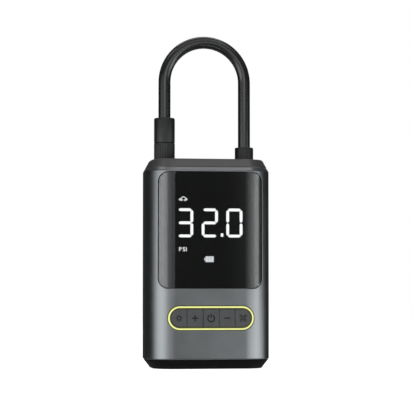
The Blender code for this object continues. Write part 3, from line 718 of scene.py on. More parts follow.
# A hole or pocket in a cap's flat face: outline(more) is its loop, grown by more, and
# distance(point) is how far a point is outside it. A pocket has a floor at its depth, and a
# hole's depth is None. edge is the reach of its rounded edge.
Well = namedtuple("Well", "outline distance depth edge")


def round_well(radius, centre, depth=None, edge=0.25, steps=56):
    def outline(more):
        return circle(radius + more, centre, steps)

    def distance(point):
        return math.hypot(point[0] - centre[0], point[1] - centre[1]) - radius

    return Well(outline, distance, depth, edge)


def slot_well(half, radius, centre, depth=None, edge=0.25):
    hole = Opening(centre, half, radius)

    def outline(more):
        return hole.loop(more, 8)

    def distance(point):
        return -hole.inside(point)

    return Well(outline, distance, depth, edge)


def cap(rows, wells, up):
    """A cap from its profile of (inset, z) rows, whose last row borders its flat face.

    The face has wells, and its underside is at the first row's height. up is 1 for a face that
    looks up and -1 for one that looks down.
    """
    shape = bmesh.new()
    rings = [section(inset, z) for inset, z in rows]
    add_rings(shape, rings)
    face_z = rows[-1][1]
    border = [(x, y) for x, y, _ in rings[-1]]

    def height(point):
        fall = sum(drop(well.distance(point), well.edge) for well in wells)
        return (point[0], point[1], face_z - up * fall)

    loops = [border]
    for well in wells:
        for more in (0.0, 0.12 * well.edge, 0.45 * well.edge, well.edge, well.edge + 0.2):
            loops.append(well.outline(more))
    corners, faces = triangles(loops, lambda p: all(w.distance(p) > -SLACK for w in wells))
    add_sheet(shape, corners, faces, height)

    under_z = rows[0][1]
    loops = [[(x, y) for x, y, _ in rings[0]]]
    open_wells = [well for well in wells if well.depth is None]
    loops.extend(well.outline(0.0) for well in open_wells)
    corners, faces = triangles(loops, lambda p: all(w.distance(p) > -SLACK for w in open_wells))
    add_sheet(shape, corners, faces, lambda p: (*p, under_z))
    for well in wells:
        outline = well.outline(0.0)
        top = [(x, y, face_z - up * well.edge) for x, y in outline]
        end_z = under_z if well.depth is None else face_z - up * well.depth
        end = [(x, y, end_z) for x, y in outline]
        add_rings(shape, [top, end])
        if well.depth is not None:
            shape.faces.new(add_points(shape, end))
    return shape


CAP_SHOULDER = 3.9  # how far in from the housing's outline the caps' shoulders are


def cap_edge(face_z, wells):
    """Marks a cap's shoulder and the edges of its wells, where it rubs."""

    def edge(place):
        near = [abs(well.distance(place)) for well in wells]
        aside = abs(outer_inset(place) - CAP_SHOULDER)
        near.append(abs(place.z - face_z) * 0.6 + aside * 0.4)
        return rubbed(min(near), 0.3)

    return edge


def outer_inset(place):
    """How far a point is inside the housing's outline, seen from above."""
    half = (HALF_WIDTH, HALF_DEPTH)
    return inside_by(place, (0.0, 0.0), half, CORNER)


SPIGOT = WALL + GAP  # inset of the caps' walls inside the sleeve
SPIGOT_INNER = WALL + 2.4
CAP_REACHES = [0, 0.15, 0.15, 0.05, 0.05, 0.05]  # rounding of the hidden corners of the caps


def make_top_cap():
    low = sleeve_high.z + GAP
    slant = TOP_SLOPE * (low - SHOULDER)
    corner = TOP_SLOPE * (top_high.z - SHOULDER)
    bead = sleeve_high.z + 0.06
    profile = [
        (SPIGOT_INNER, top_high.z - 2.0), (SPIGOT_INNER, top_low.z), (SPIGOT, top_low.z), (SPIGOT, bead),
        (1.5, bead), (1.5, low), (slant, low), (corner, top_high.z), (corner + 1.6, top_high.z),
    ]
    rows = softened(profile, CAP_REACHES + [0.2, 1.05, 0], 5, closed=False)
    port = box_mm("charging_port")
    port_half = half_of(*port, GAP)
    lens = (lens_low, lens_high)
    wells = [
        round_well(collar_high.x - HOSE_X + GAP, (HOSE_X, HOSE_Y)),
        round_well(nozzle_high.x + HOSE_X + 0.55, (-HOSE_X, HOSE_Y), edge=0.5),
        round_well(half_of(*lens, GAP)[0], middle_of(*lens)),
        slot_well(port_half, port_half[1] - 0.05, middle_of(*port), edge=0.4),
    ]
    edge = cap_edge(top_high.z, wells)
    finish_piece("top_cap_moulding", cap(rows, wells, 1), "cap", "top_cap", edge=edge)


VENTS = 7
VENT_PITCH = 4.2
VENT_HALF = (0.9, 6.5)
BASE_DROP = 0.4  # how far the visible base reaches below the CAD's, still above the ground


def make_bottom_cap():
    high = sleeve_low.z - GAP
    face = base_low.z - BASE_DROP
    bead = sleeve_low.z - 0.06
    profile = [
        (SPIGOT_INNER, 3.6), (SPIGOT_INNER, base_high.z), (SPIGOT, base_high.z), (SPIGOT, bead),
        (0.75, bead), (0.75, high), (0.42, high), (4.35, face), (6.2, face),
    ]
    rows = softened(profile, CAP_REACHES + [0.15, 0.4, 0], 5, closed=False)
    wells = []
    for node in ("foot_front", "foot_back"):
        low, top = box_mm(node)
        half = half_of(low, top, GAP)
        depth = top.z + GAP - face
        wells.append(slot_well(half, half[1] - 0.1, middle_of(low, top), depth, 0.2))
    for k in range(VENTS):
        x = (k - (VENTS - 1) / 2) * VENT_PITCH
        wells.append(slot_well(VENT_HALF, 0.85, (x, 0.0), edge=0.2))
    for k in range(4):
        centre = middle_of(*box_mm(f"base_screw_{k + 1}"))
        wells.append(round_well(2.6, centre, 1.9, 0.2, 28))
    edge = cap_edge(face, wells)
    finish_piece("bottom_cap_moulding", cap(rows, wells, -1), "base", "bottom_cap", edge=edge)


def make_feet():
    for node in ("foot_front", "foot_back"):
        low, high = box_mm(node)
        half = half_of(low, high)
        centre = middle_of(low, high)
        profile = [(half[1] - 0.1, low.z), (0.0, low.z), (0.0, high.z), (half[1] - 0.1, high.z)]
        rows = softened(profile, [0, 0.45, 0.1, 0], 4, closed=False)
        shape = bmesh.new()
        rings = []
        for inset, z in rows:
            radius = max(half[1] - 0.1 - inset, 0.01)
            outline = rounded_rectangle((half[0] - inset, half[1] - inset), radius, centre)
            rings.append([(x, y, z) for x, y in outline])
        add_rings(shape, rings, capped=True)
        finish_piece(f"{node}_pad", shape, "soft", node)


def make_screws():
    """Pan heads with a cross recess."""
    arm, half_slot, recess = 1.25, 0.28, 0.8
    for k in range(4):
        node = f"base_screw_{k + 1}"
        low, high = box_mm(node)
        centre = middle_of(low, high)
        cross = []
        for c, s in ((1, 0), (0, 1), (-1, 0), (0, -1)):
            for along, across in ((half_slot, -half_slot), (arm, -half_slot), (arm, half_slot)):
                cross.append((centre[0] + along * c - across * s, centre[1] + along * s + across * c))
        face = low.z + 0.05
        shape = bmesh.new()
        corners, faces = triangles(
            [circle(1.7, centre, 32), cross], lambda p, cross=cross: not even_odd([cross], p))
        add_sheet(shape, corners, faces, lambda p, face=face: (*p, face))
        floor = [(x, y, face + recess) for x, y in cross]
        add_rings(shape, [[(x, y, face) for x, y in cross], floor])
        shape.faces.new(add_points(shape, floor))
        profile = [
            (1.7, face), (2.1, face + 0.12), (2.3, face + 0.45), (2.3, 2.1), (1.2, 2.1),
            (1.2, high.z), (0.0, high.z),
        ]
        add_rings(shape, [[(x, y, z) for x, y in circle(r, centre, 32)] for r, z in profile])
        finish_piece(f"{node}_head", shape, "steel", node)


# ---- display

GLASS_DEPTHS = (0.2, 1.05)
# the black seal round the glass is painted shade for the gap there
SHADE_FILLER_DEPTHS = (0.16, 1.3)
MASK_DEPTHS = (1.35, 2.35)
SIGN_DEPTHS = (1.14, 1.34)


def below(depth):
    """Puts points under the curved front, depth being a number or a function of the point."""
    def place(point):
        inset = depth(point) if callable(depth) else depth
        return facing(point[0], point[1], inset)

    return place


def window_columns():
    return front_columns(window_low.z - 1, window_high.z + 1, WINDOW_HALF[0])


def make_window():
    edge = 0.02
    loops = [window.loop(-GAP - more) for more in (0.0, edge, edge + 0.6)]
    corners, faces = triangles(loops, lambda p: window.inside(p, -GAP) > -SLACK, window_columns())
    for name, node, look, (near, far) in (
        ("window_cover", "display_window", "glass", GLASS_DEPTHS),
        ("window_mask", "display_mask", "mask", MASK_DEPTHS),
    ):
        front = below(lambda p, near=near: near + drop(window.inside(p, -GAP), edge))
        finish_piece(name, slab(corners, faces, front, below(far)), look, node)


def make_shade_filler():
    """A thin black seal between the glass and the sleeve. It is painted shade: a dark sheet standing in
    for the shade in the gap round the glass.
    """
    outer, inner = -0.03, 0.01 - GAP
    loops = [window.loop(outer), window.loop((outer + inner) / 2), window.loop(inner)]
    corners, faces = triangles(
        loops, lambda p: window.inside(p, outer) > -SLACK and window.inside(p, inner) < SLACK,
        window_columns(),
    )
    near, far = SHADE_FILLER_DEPTHS
    shape = slab(corners, faces, below(near), below(far))
    finish_piece("window_shade_filler", shape, "shade_filler", slot="soft_rubber")


DIGIT_WIDTH = 9.5
DIGIT_STROKE = 1.65
DIGIT_Z = (76.1, 92.9)
DIGITS = (("3", -19.85), ("2", -5.42), ("0", 8.98))
SEGMENTS = {"0": "abcdef", "2": "abged", "3": "abgcd"}
BAR_ENDS = {  # each bar's ends, as the column and the row of the digit's corners
    "a": ((0, 2), (1, 2)), "b": ((1, 1), (1, 2)), "c": ((1, 0), (1, 1)), "d": ((0, 0), (1, 0)),
    "e": ((0, 0), (0, 1)), "f": ((0, 1), (0, 2)), "g": ((0, 1), (1, 1)),
}
BAR_GAP = 0.14


def digit_segments(text, left):
    """The lit bars of one seven-segment digit, as pointed bars a little apart."""
    half = DIGIT_STROKE / 2
    low, high = DIGIT_Z[0] + half, DIGIT_Z[1] - half
    columns = (left + half, left + DIGIT_WIDTH - half)
    rows = (low, (low + high) / 2, high)
    bars = []
    for key in SEGMENTS[text]:
        start, end = (Vector((columns[k], rows[i])) for k, i in BAR_ENDS[key])
        run = (end - start).normalized()
        across = Vector((-run.y, run.x)) * half
        start = start + run * BAR_GAP
        end = end - run * BAR_GAP
        inner = run * half
        bars.append([[
            tuple(start), tuple(start + inner + across), tuple(end - inner + across), tuple(end),
            tuple(end - inner - across), tuple(start + inner - across),
        ]])
    return bars


def moved(points, x, z):
    return [(x + a, z + b) for a, b in points]


def car_sign():
    """A plain car seen from the side: body with a window and two wheels."""
    body = [
        (0.0, 0.7), (0.15, 1.35), (0.7, 1.65), (1.3, 1.85), (1.75, 2.4), (2.5, 2.8), (3.3, 2.65),
        (4.1, 2.05), (4.85, 1.5), (5.1, 0.95), (4.85, 0.5), (4.1, 0.4), (3.65, 0.8), (3.1, 0.55),
        (2.1, 0.55), (1.6, 0.8), (1.15, 0.4), (0.35, 0.4),
    ]
    glass = [(1.7, 1.6), (2.2, 2.15), (3.2, 2.15), (3.9, 1.6), (3.2, 0.75), (2.3, 0.75)]
    wheels = [[circle(0.42, (x, 0.42), 14)] for x in (1.6, 3.65)]
    return [[moved(loop, -18.8, 97.0) for loop in loops] for loops in ([body, glass], *wheels)]


def unit_sign():
    """The pressure unit's three letters, as pen strokes."""
    pen = 0.34
    stem = [(0.0, 0.2), (0.0, 2.3)]
    bowl = [(0.0, 2.3), (0.7, 2.3), (1.12, 1.95), (1.12, 1.55), (0.7, 1.2), (0.0, 1.2)]
    curve = [(0.975, 2.1), (0.7125, 2.3), (0.3, 2.3), (0.0375, 2.0), (0.075, 1.6), (0.3375, 1.35),
             (0.7125, 1.15), (0.975, 0.9), (0.975, 0.5), (0.7125, 0.2), (0.3, 0.2), (0.0, 0.4)]
    places = ((stem, -18.4), (bowl, -18.4), (curve, -16.25), (stem, -14.4))
    return [stroke(moved(path, x, 68.0), pen) for path, x in places]


def battery_sign():
    bars = [rounded_rectangle((0.75, 1.7), 0.25, (0.8 + 1.62 * k, 1.7), 3) for k in range(3)]
    nub = [(-0.75, 1.45), (-0.1, 0.75), (-0.1, 2.65), (-0.75, 1.95)]
    return [[moved(loop, -3.2, 61.8)] for loop in (*bars, nub)]


def make_signs():
    near, far = SIGN_DEPTHS
    bars = [bar for text, left in DIGITS for bar in digit_segments(text, left)]
    bars.append([rounded_rectangle((0.75, 1.0), 0.25, (6.5, 77.5), 4)])
    for name, strokes, look in (
        ("display_digits", bars, "digit"), ("display_car", car_sign(), "sign"),
        ("display_unit", unit_sign(), "digit"), ("display_battery", battery_sign(), "sign"),
    ):
        shape = flat_shape(strokes, below(near), below(far))
        finish_piece(name, shape, look, slot="ring_light", glow=lambda place: 1.0)


# ---- light ring and buttons

RING_CROWN = 0.22  # how far it stands out of the sleeve
RING_FOOT = 0.28  # how deep its edges are
RING_BACK = -17.0


def make_ring():
    middle = GAP + RING_WIDTH / 2

    def off_middle(point):
        return abs(pad.inside(point) - middle) / (RING_WIDTH / 2)

    def crown(point):
        t = min(off_middle(point), 1)
        return RING_FOOT - (RING_CROWN + RING_FOOT) * math.sqrt(max(1 - t ** 2.4, 0))

    shares = (0.0, 0.06, 0.18, 0.34, 0.5, 0.66, 0.82, 0.94, 1.0)
    loops = [pad.loop(-GAP - RING_WIDTH * share, 24) for share in shares]
    columns = front_columns(ring_low.z - 1, ring_high.z + 1, PAD_HALF[0])
    corners, faces = triangles(loops, lambda p: off_middle(p) < 1 + SLACK, columns)
    shape = slab(corners, faces, below(crown), lambda p: (p[0], RING_BACK, p[1]))

    def glow(place):
        off = abs(pad.inside((place.x, place.z)) - middle + 0.15) / (RING_WIDTH / 2)
        return 1 - smooth((off - 0.3) / 0.5)

    finish_piece("ring_light_guide", shape, "ring", "light_ring", sharp=50, glow=glow)


KEY_HALF = (PAD_HALF[0] - RING_WIDTH - 2 * GAP, PAD_HALF[1] - RING_WIDTH - 2 * GAP)
KEY_PITCH = 2 * KEY_HALF[0] / len(BUTTONS)
DISH = 0.14


def key_sides(index):
    left = -KEY_HALF[0] + index * KEY_PITCH + GAP / 2
    return left, left + KEY_PITCH - GAP


def key_loop(index, less, steps=20):
    """One button's outline, less being how far it has shrunk. The end ones are half round."""
    left, right = key_sides(index)
    radius = KEY_HALF[1] - less
    points = []
    for side, last, end_x in ((1, len(BUTTONS) - 1, right - less), (-1, 0, left + less)):
        for k in range(steps + 1) if index == last else (0, steps):
            angle = math.pi * (k / steps - 0.5 * side)
            x = side * (KEY_HALF[0] - KEY_HALF[1]) + radius * math.cos(angle)
            points.append((x if index == last else end_x, radius * math.sin(angle) + PAD_CENTRE[1]))
    return points


def key_distance(index, point):
    """How far a point is inside a button."""
    left, right = key_sides(index)
    sides = [inside_by(point, PAD_CENTRE, KEY_HALF, KEY_HALF[1])]
    if index > 0:
        sides.append(point[0] - left)
    if index < len(BUTTONS) - 1:
        sides.append(right - point[0])
    return min(sides)


def key_inset(index, point):
    """A shallow dish with rounded edges."""
    left, right = key_sides(index)
    across = 2 * (point[0] - (left + right) / 2) / (right - left)
    upright = (point[1] - PAD_CENTRE[1]) / KEY_HALF[1]
    dish = DISH * max(1 - across ** 2, 0) * max(1 - upright ** 2, 0)
    return 0.05 + dish + drop(key_distance(index, point), 0.32)


def ray(centre, angle, inner, outer):
    c, s = math.cos(angle), math.sin(angle)
    return [(centre[0] + inner * c, centre[1] + inner * s),
            (centre[0] + outer * c, centre[1] + outer * s)]


def key_sign(word, centre):
    """The sign on a button, as pen strokes."""
    x, z = centre
    if word == "light":
        strokes = [stroke(circle(1.1, centre, 24), 0.5, True)]
        strokes += [stroke(ray(centre, math.pi / 4 * k, 1.7, 1.86), 0.42) for k in range(8)]
        return strokes
    if word == "plus":
        return [stroke([(x - 1.6, z), (x + 1.6, z)], 0.7), stroke([(x, z - 1.6), (x, z + 1.6)], 0.7)]
    if word == "power":
        arc = []
        for k in range(31):
            angle = math.radians(90 + 38 + (360 - 76) * k / 30)
            arc.append((x + 1.95 * math.cos(angle), z - 0.15 + 1.95 * math.sin(angle)))
        return [stroke(arc, 0.72), stroke([(x, z + 0.35), (x, z + 2.15)], 0.72)]
    if word == "minus":
        return [stroke([(x - 1.5, z), (x + 1.5, z)], 0.7)]
    strokes = []
    for sx, sz in ((1, 1), (-1, 1), (-1, -1), (1, -1)):
        middle = (x + sx * 1.2, z + sz * 1.2)
        strokes.append(stroke(circle(0.66, middle, 18), 0.4, True))
    square = [(x + 0.62, z + 0.62), (x - 0.62, z + 0.62), (x - 0.62, z - 0.62), (x + 0.62, z - 0.62)]
    for k in range(4):
        strokes.append(stroke([square[k - 1], square[k]], 0.3))
    return strokes


def make_buttons():
    for index, word in enumerate(BUTTONS):
        left, right = key_sides(index)
        body = f"button_{word}_body"

        def inset(point, more=0.0, index=index):
            return key_inset(index, point) + more

        loops = [key_loop(index, less) for less in (0.0, 0.03, 0.1, 0.2, 0.32, 0.6)]
        dots = []
        for i in range(12):
            for k in range(12):
                dot = (left + (right - left) * (i + 0.5) / 12,
                       PAD_CENTRE[1] + KEY_HALF[1] * ((k + 0.5) / 6 - 1))
                if key_distance(index, dot) > 0.8:
                    dots.append(dot)
        lines = front_columns(ring_low.z, ring_high.z, KEY_HALF[0], 24) if index in (0, 4) else ()
        lines = [line for line in lines if left < line[0][0] < right]
        corners, faces = triangles(
            loops, lambda p, index=index: key_distance(index, p) > -SLACK, lines, dots)
        shape = slab(corners, faces, below(inset), lambda p: (p[0], BUTTON_BACK, p[1]))

        def edge(place, index=index):
            return rubbed(key_distance(index, (place.x, place.z)), 0.16)

        node = f"button_{word}"
        finish_piece(f"{node}_key", shape, "button", node, body, sharp=40, edge=edge)

        strokes = key_sign(word, ((left + right) / 2, PAD_CENTRE[1]))
        ink_front = below(lambda p, inset=inset: inset(p, -0.025))
        ink_back = below(lambda p, inset=inset: inset(p, 0.06))
        shape = flat_shape(strokes, ink_front, ink_back)
        finish_piece(f"{node}_sign", shape, "sign_ink", body=body, slot="button_plastic")


# ---- hose, collar and nozzle


def hose_path():
    """The hose's centreline: up from the collar, over in one arch, and down to the nozzle."""
    points = []
    for k in range(12):
        points.append((HOSE_X, HOSE_LOW + (ARCH_Z - HOSE_LOW) * k / 12))
    for k in range(49):
        angle = math.pi * k / 48
        points.append((HOSE_X * math.cos(angle), ARCH_Z + HOSE_X * math.sin(angle)))
    for k in range(1, 9):
        points.append((-HOSE_X, ARCH_Z + (HOSE_END - ARCH_Z) * k / 8))
    return [Vector((x, HOSE_Y, z)) for x, z in points]


def make_hose():
    path = hose_path()
    steps = 40
    rings = []
    for k, here in enumerate(path):
        run = (path[min(k + 1, len(path) - 1)] - path[max(k - 1, 0)]).normalized()
        side = run.cross(Vector((0, 1, 0))).normalized()
        ring = []
        for i in range(steps):
            angle = 2 * math.pi * i / steps
            reach = side * math.cos(angle) + Vector((0, 1, 0)) * math.sin(angle)
            ring.append(here + reach * HOSE_RADIUS)
        rings.append(ring)
    shape = bmesh.new()
    add_rings(shape, rings, capped=True)
    hose = finish_piece("air_hose", shape, "rubber", "hose", body=None)
    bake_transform(hose)
    return hose, path


def make_collar():
    outer = collar_high.x - HOSE_X
    bore = HOSE_RADIUS + GAP
    low, top = collar_low.z, collar_high.z
    seat, foot = HOSE_LOW - 0.4, 114.0
    profile = [
        (outer, low), (outer, top), (bore, top), (bore, seat), (PASSAGE, seat), (PASSAGE, foot),
        (2.3, foot), (2.3, low),
    ]
    shape = turned(softened(profile, [0.2, 1.0, 0.4, 0, 0, 0, 0, 0]), (HOSE_X, HOSE_Y), 72)
    finish_piece(
        "hose_collar_moulding", shape, "nozzle", "hose_collar",
        edge=lambda place: rubbed(abs(place.z - top), 0.5),
    )


CHUCK_RIBS = 24
RIB_DEPTH = 0.25
GROOVE_SHARE = 0.26  # how much of each rib's pitch one side of its groove takes


def rib_radius(angle, radius, depth):
    """A chuck's radius at an angle, with rounded grooves between flat-topped ribs."""
    share = (angle * CHUCK_RIBS / (2 * math.pi)) % 1
    groove = min(abs(share - 1), share) / GROOVE_SHARE
    if groove >= 1:
        return radius
    return radius - depth * (0.5 + 0.5 * math.cos(math.pi * groove))


def make_nozzle():
    centre = (-HOSE_X, HOSE_Y)
    outer = nozzle_high.x + HOSE_X
    bore = HOSE_RADIUS + GAP
    joint = chuck_high.z + GAP
    top = nozzle_high.z
    profile = [
        (3.0, nozzle_low.z), (3.0, joint), (outer, joint), (outer, top), (bore, top),
        (bore, BORE_FLOOR), (PASSAGE, BORE_FLOOR), (PASSAGE, nozzle_low.z),
    ]
    shape = turned(softened(profile, [0.1, 0, 0.22, 1.25, 0.4, 0, 0, 0.1]), centre, 72)
    sleeve = finish_piece(
        "nozzle_sleeve_moulding", shape, "nozzle", "nozzle_sleeve", "nozzle",
        edge=lambda place: rubbed(min(abs(place.z - top), abs(place.z - joint)), 0.4),
    )

    low, high = chuck_low.z, chuck_high.z
    steps = CHUCK_RIBS * 10
    rows = [
        (outer - 0.7, low, 0.0), (outer - 0.25, low + 0.12, 0.3), (outer, low + 0.7, 1.0),
        (outer, high - 0.9, 1.0), (outer, high - 0.55, 0.25), (outer, high - 0.45, 0.0),
        (outer, high - 0.2, 0.0), (outer - 0.12, high, 0.0),
        (3.45, high, 0.0), (3.3, high - 0.15, 0.0), (3.3, 121.0, 0.0), (3.85, 121.0, 0.0),
        (3.85, low + 0.5, 0.0), (4.2, low, 0.0),
    ]
    rings = []
    for radius, z, share in rows:
        ring = []
        for k in range(steps):
            angle = 2 * math.pi * k / steps
            reach = rib_radius(angle, radius, RIB_DEPTH * share)
            ring.append((centre[0] + reach * math.cos(angle), centre[1] + reach * math.sin(angle), z))
        rings.append(ring)
    shape = bmesh.new()
    add_rings(shape, rings, closed=True)

    def rib_edge(place):
        radius = math.hypot(place.x - centre[0], place.y - centre[1])
        return max(0.0, min((radius - outer + 0.12) / 0.12, 1.0)) * 0.35

    chuck = finish_piece(
        "chuck_nut_ribbed", shape, "nozzle", "chuck_nut", "chuck", sharp=26, edge=rib_edge)
    return sleeve, chuck


# ---- lamp


def make_lamp():
    """A clear lens with ridges inside."""
    centre = middle_of(lens_low, lens_high)
    radius = half_of(lens_low, lens_high)[0]
    profile = [(0.0, lens_low.z)]
    ridges = 5
    for k in range(ridges):
        outer = radius * (k + 1) / (ridges + 0.6)
        profile += [(outer - 0.12, lens_low.z + 0.02), (outer, lens_low.z + 0.45)]
    profile += [(radius, lens_low.z), (radius, lens_high.z - 0.5), (radius - 0.35, lens_high.z - 0.15),
                (radius - 1.0, lens_high.z - 0.03), (0.0, lens_high.z)]
    finish_piece("lamp_lens_ridged", turned(profile, centre), "lens", "lamp_lens")


# ---- valve spring


def make_spring():
    """The check valve's coil, drawn at one length, though it shortens towards its fixed top end as the
    disc lifts.
    """
    low, high = box_mm("valve_spring")
    middle = Vector((*middle_of(low, high), 0))
    wire = 0.22
    radius = half_of(low, high)[0] - wire
    turns, steps = 3, 24
    rings = []
    for k in range(turns * steps + 1):
        angle = 2 * math.pi * k / steps
        out = Vector((math.cos(angle), math.sin(angle), 0))
        share = k / (turns * steps)
        z = low.z + wire + (high.z - low.z - 2 * wire) * share
        here = middle + out * radius + Vector((0, 0, z))
        rings.append([here + (out * a + Vector((0, 0, 1)) * b) for a, b in circle(wire, (0, 0), 10)])
    shape = bmesh.new()
    add_rings(shape, rings, capped=True)
    spring = finish_piece("valve_spring_coil", shape, "steel", "valve_spring", sharp=60)
    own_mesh(spring)


# ---- carried-over nodes

NODE_LOOKS = {
    "soft_rubber": "soft", "frame_plastic": "moulding", "board": "board", "white_plastic": "white",
    "steel": "steel", "cast_metal": "cast", "brass": "brass", "cell_wrap": "wrap",
    "wire_red": "wire", "cap_plastic": "nozzle", "button_plastic": "button",
    "mask_black": "mask", "window_glass": "glass", "lamp_clear": "lens", "ring_light": "ring",
    "sleeve_metal": "metal",
}


def dress_nodes():
    """Gives every CAD node that still shows its slot's material, and crisp edges."""
    for name, slot in SLOTS.items():
        node = frame["nodes"].get(name)
        if node is not None:
            node.data.materials.clear()
            node.data.materials.append(LOOKS[NODE_LOOKS[slot]])
            node.data.set_sharp_from_angle(angle=math.radians(28))


# ---- studio

DOME_RADIUS = 4.0
FLOOR_RADIUS = 1.6


def emitter(name, colour):
    """A light source whose radiance is the attribute level."""
    made = bpy.data.materials.new(name)
    made.use_nodes = True
    tree = made.node_tree
    tree.nodes.clear()
    output = tree.nodes.new("ShaderNodeOutputMaterial")
    light = result_of(tree, "Emission", (*colour, 1.0), attribute_value(tree, "level"))
    connect(tree, light, output.inputs["Surface"])
    return made


def stage_mesh(name, verts, faces, look, levels=None):
    mesh = bpy.data.meshes.new(name)
    mesh.from_pydata(verts, [], faces)
    mesh.materials.append(look)
    if levels is not None:
        layer = mesh.attributes.new("level", "FLOAT", "POINT")
        for item, value in zip(layer.data, levels):
            item.value = value
    obj = bpy.data.objects.new(name, mesh)
    bpy.context.scene.collection.objects.link(obj)
    return obj


def grid(columns, rows, place):
    """The corners and squares of a sheet. place(k, i) is corner i of column k."""
    verts = [place(k, i) for k in range(columns + 1) for i in range(rows + 1)]
    faces = []
    for k in range(columns):
        for i in range(rows):
            a = k * (rows + 1) + i
            b = a + rows + 1
            faces.append((a, b, b + 1, a + 1))
    return verts, faces


def broken_line(value, points):
    """A value on a line through points, eased between one and the next."""
    if value <= points[0][0]:
        return points[0][1]
    for (x0, y0), (x1, y1) in zip(points, points[1:]):
        if value <= x1:
            return y0 + (y1 - y0) * smooth((value - x0) / (x1 - x0))
    return points[-1][1]


class Panel:
    """A curved soft panel round the object.

    across is a broken line of (degrees, radiance), 0 degrees in front and +X positive. upright
    is one of (height in metres, share of that radiance). The panel reaches as far as they do.
    """

    def __init__(self, across, upright):
        self.across = across
        self.upright = upright

    def level(self, degrees, z):
        return broken_line(degrees, self.across) * broken_line(z, self.upright)


LEFT_PANEL = Panel(
    (
        (-104, 0.03), (-92, 0.5), (-80, 1.7), (-64, 2.6), (-50, 2.7), (-40, 2.3), (-26, 0.85),
        (-11, 0.5), (-1, 0.45),
    ),
    ((-0.4, 0.0), (-0.2, 0.6), (0.0, 1.0), (0.17, 1.0), (0.19, 0.85)),
)
RIGHT_PANEL = Panel(
    (
        (-0.9, 0.082), (10, 0.082), (17, 0.3), (27, 0.62), (43, 1.2), (58, 2.2), (67, 2.2),
        (74, 0.5), (84, 0.05),
    ),
    ((-0.4, 0.0), (-0.2, 0.5), (0.0, 1.0), (0.17, 1.0), (0.19, 0.7)),
)
LOW_PANEL = Panel(
    (
        (-46, 1.5), (-30, 1.5), (-12, 1.0), (2, 0.2), (10, 0.5), (20, 2.3), (36, 3.2), (48, 3.4),
        (60, 3.4), (76, 3.0), (90, 1.8), (104, 0.05),
    ),
    ((-0.24, 0.0), (-0.1, 0.75), (-0.02, 1.0), (0.036, 1.0)),
)
HIGH_PANEL = Panel(
    (
        (-95, 0.03), (-78, 0.5), (-40, 0.5), (-20, 0.7), (-12, 1.9), (10, 1.9), (16, 0.6),
        (24, 0.1), (32, 0.03),
    ),
    ((0.17, 1.0), (0.36, 1.0), (0.46, 0.0)),
)


def low_level(degrees, z):
    """The low panel, which turns into the side panels at its top and at its left end."""
    panel = LEFT_PANEL if degrees < LEFT_PANEL.across[-1][0] else RIGHT_PANEL
    side = panel.level(degrees, z)
    low = LOW_PANEL.level(degrees, z)
    return side + (low - side) * smooth((0.036 - z) / 0.03) * smooth((degrees + 46) / 14)


def make_panel(name, panel, distance=0.85, level=None):
    level = level or panel.level
    columns, rows = 80, 24
    first, last = panel.across[0][0], panel.across[-1][0]
    low, high = panel.upright[0][0], panel.upright[-1][0]
    levels = []

    def place(k, i):
        degrees = first + (last - first) * k / columns
        z = low + (high - low) * i / rows
        levels.append(level(degrees, z))
        angle = math.radians(degrees)
        return (distance * math.sin(angle), -distance * math.cos(angle), z)

    verts, faces = grid(columns, rows, place)
    obj = stage_mesh(name, verts, faces, emitter(name, (0.97, 0.995, 1.0)), levels)
    obj.visible_camera = False
    obj.visible_shadow = False


AIM = Vector((0, 0, 0.09))  # where the lights point, in metres


def area_light(name, around_degrees, up_degrees, distance, size, power):
    data = bpy.data.lights.new(name, "AREA")
    data.shape = "RECTANGLE"
    data.size, data.size_y = size
    data.energy = power
    light = bpy.data.objects.new(name, data)
    bpy.context.scene.collection.objects.link(light)
    a, e = math.radians(around_degrees), math.radians(up_degrees)
    back = Vector((math.sin(a) * math.cos(e), -math.cos(a) * math.cos(e), math.sin(e)))
    light.location = AIM + back * distance
    light.rotation_mode = "QUATERNION"
    light.rotation_quaternion = (-back).to_track_quat("-Z", "Y")
    light.visible_camera = False


def make_world():
    """Soft light from all round, whose brightness goes by how high it comes from."""
    world = bpy.data.worlds.new("studio")
    world.use_nodes = True
    bpy.context.scene.world = world
    tree = world.node_tree
    split = tree.nodes.new("ShaderNodeSeparateXYZ")
    connect(tree, tree.nodes.new("ShaderNodeTexCoord").outputs["Generated"], split.inputs[0])
    height = result_of(tree, "MapRange", split.outputs["Z"], -1.0, 1.0)
    tone = tree.nodes.new("ShaderNodeValToRGB")
    stops = (
        (0.0, 0.06), (0.10, 0.24), (0.34, 0.24), (0.43, 0.03), (0.57, 0.03), (0.68, 0.08),
        (0.78, 0.15), (1.0, 0.2),
    )
    elements = tone.color_ramp.elements
    elements[0].position = stops[0][0]
    elements[1].position = stops[-1][0]
    for position, _ in stops[1:-1]:
        elements.new(position)
    for element, (_, level) in zip(elements, stops):
        element.color = (level, level, level * 1.02, 1)
    connect(tree, height, tone.inputs["Fac"])
    connect(tree, tone.outputs["Color"], tree.nodes["Background"].inputs["Color"])


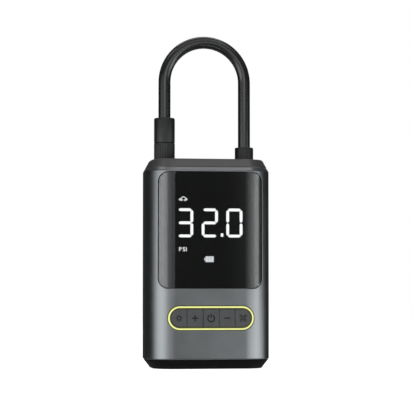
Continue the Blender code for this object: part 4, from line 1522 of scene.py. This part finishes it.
def make_floor():
    """A pale round floor, which the camera sees and nothing reflects."""
    paper = bpy.data.materials.new("pale_floor")
    paper.use_nodes = True
    shader = paper.node_tree.nodes["Principled BSDF"]
    shader.inputs["Base Color"].default_value = (0.8, 0.8, 0.8, 1)
    shader.inputs["Roughness"].default_value = 0.9
    shader.inputs["Emission Color"].default_value = (1, 1, 1, 1)
    shader.inputs["Emission Strength"].default_value = 0.9
    steps = 96
    rim = [(x, y, 0) for x, y in circle(FLOOR_RADIUS, (0, 0), steps)]
    show_only(stage_mesh("floor", rim, [tuple(range(steps))], paper))


def make_backdrop():
    columns, rows = 96, 24

    def place(k, i):
        angle = 2 * math.pi * k / columns
        up = math.pi * (i / rows - 0.5)
        flat = DOME_RADIUS * math.cos(up)
        return (flat * math.cos(angle), flat * math.sin(angle), DOME_RADIUS * math.sin(up))

    verts, faces = grid(columns, rows, place)
    look = emitter("backdrop", (1, 1, 1))
    show_only(stage_mesh("backdrop", verts, faces, look, [1.0] * len(verts)))


def show_only(obj):
    """Leaves a stage piece to the camera alone."""
    for flag in ("glossy", "diffuse", "transmission", "shadow"):
        setattr(obj, f"visible_{flag}", False)


def make_studio():
    bpy.context.scene.view_settings.view_transform = "Standard"
    make_world()
    make_panel("panel_left", LEFT_PANEL)
    make_panel("panel_right", RIGHT_PANEL)
    make_panel("panel_low", LOW_PANEL, 0.83, low_level)
    make_panel("panel_high", HIGH_PANEL, 0.88)
    area_light("key", 8, 54, 1.2, (1.2, 0.75), 2.0)
    area_light("left_high", -72, 52, 1.2, (0.5, 0.3), 0.6)
    area_light("right_high", 42, 52, 1.2, (0.4, 0.3), 0.3)
    area_light("low_front", -4, -58, 1.0, (0.6, 0.12), 0.5)
    area_light("front_fill", 11, 14.5, 1.2, (0.36, 0.2), 1.2)
    area_light("rear_key", 175, 64, 1.2, (1.0, 0.5), 2.6)
    area_light("rear_fill", 160, 16, 1.2, (0.5, 0.2), 0.3)
    make_floor()
    make_backdrop()


# ---- build


def main():
    make_camera()
    make_materials()
    hose, path = make_hose()
    make_collar()
    sleeve, chuck = make_nozzle()
    length = sum((b - a).length for a, b in zip(path, path[1:])) * MM
    [tuple(p * MM) for p in path]
    make_sleeve()
    make_top_cap()
    make_bottom_cap()
    make_feet()
    make_screws()
    make_window()
    make_shade_filler()
    make_signs()
    make_ring()
    make_buttons()
    make_lamp()
    make_spring()
    dress_nodes()
    make_studio()


main()
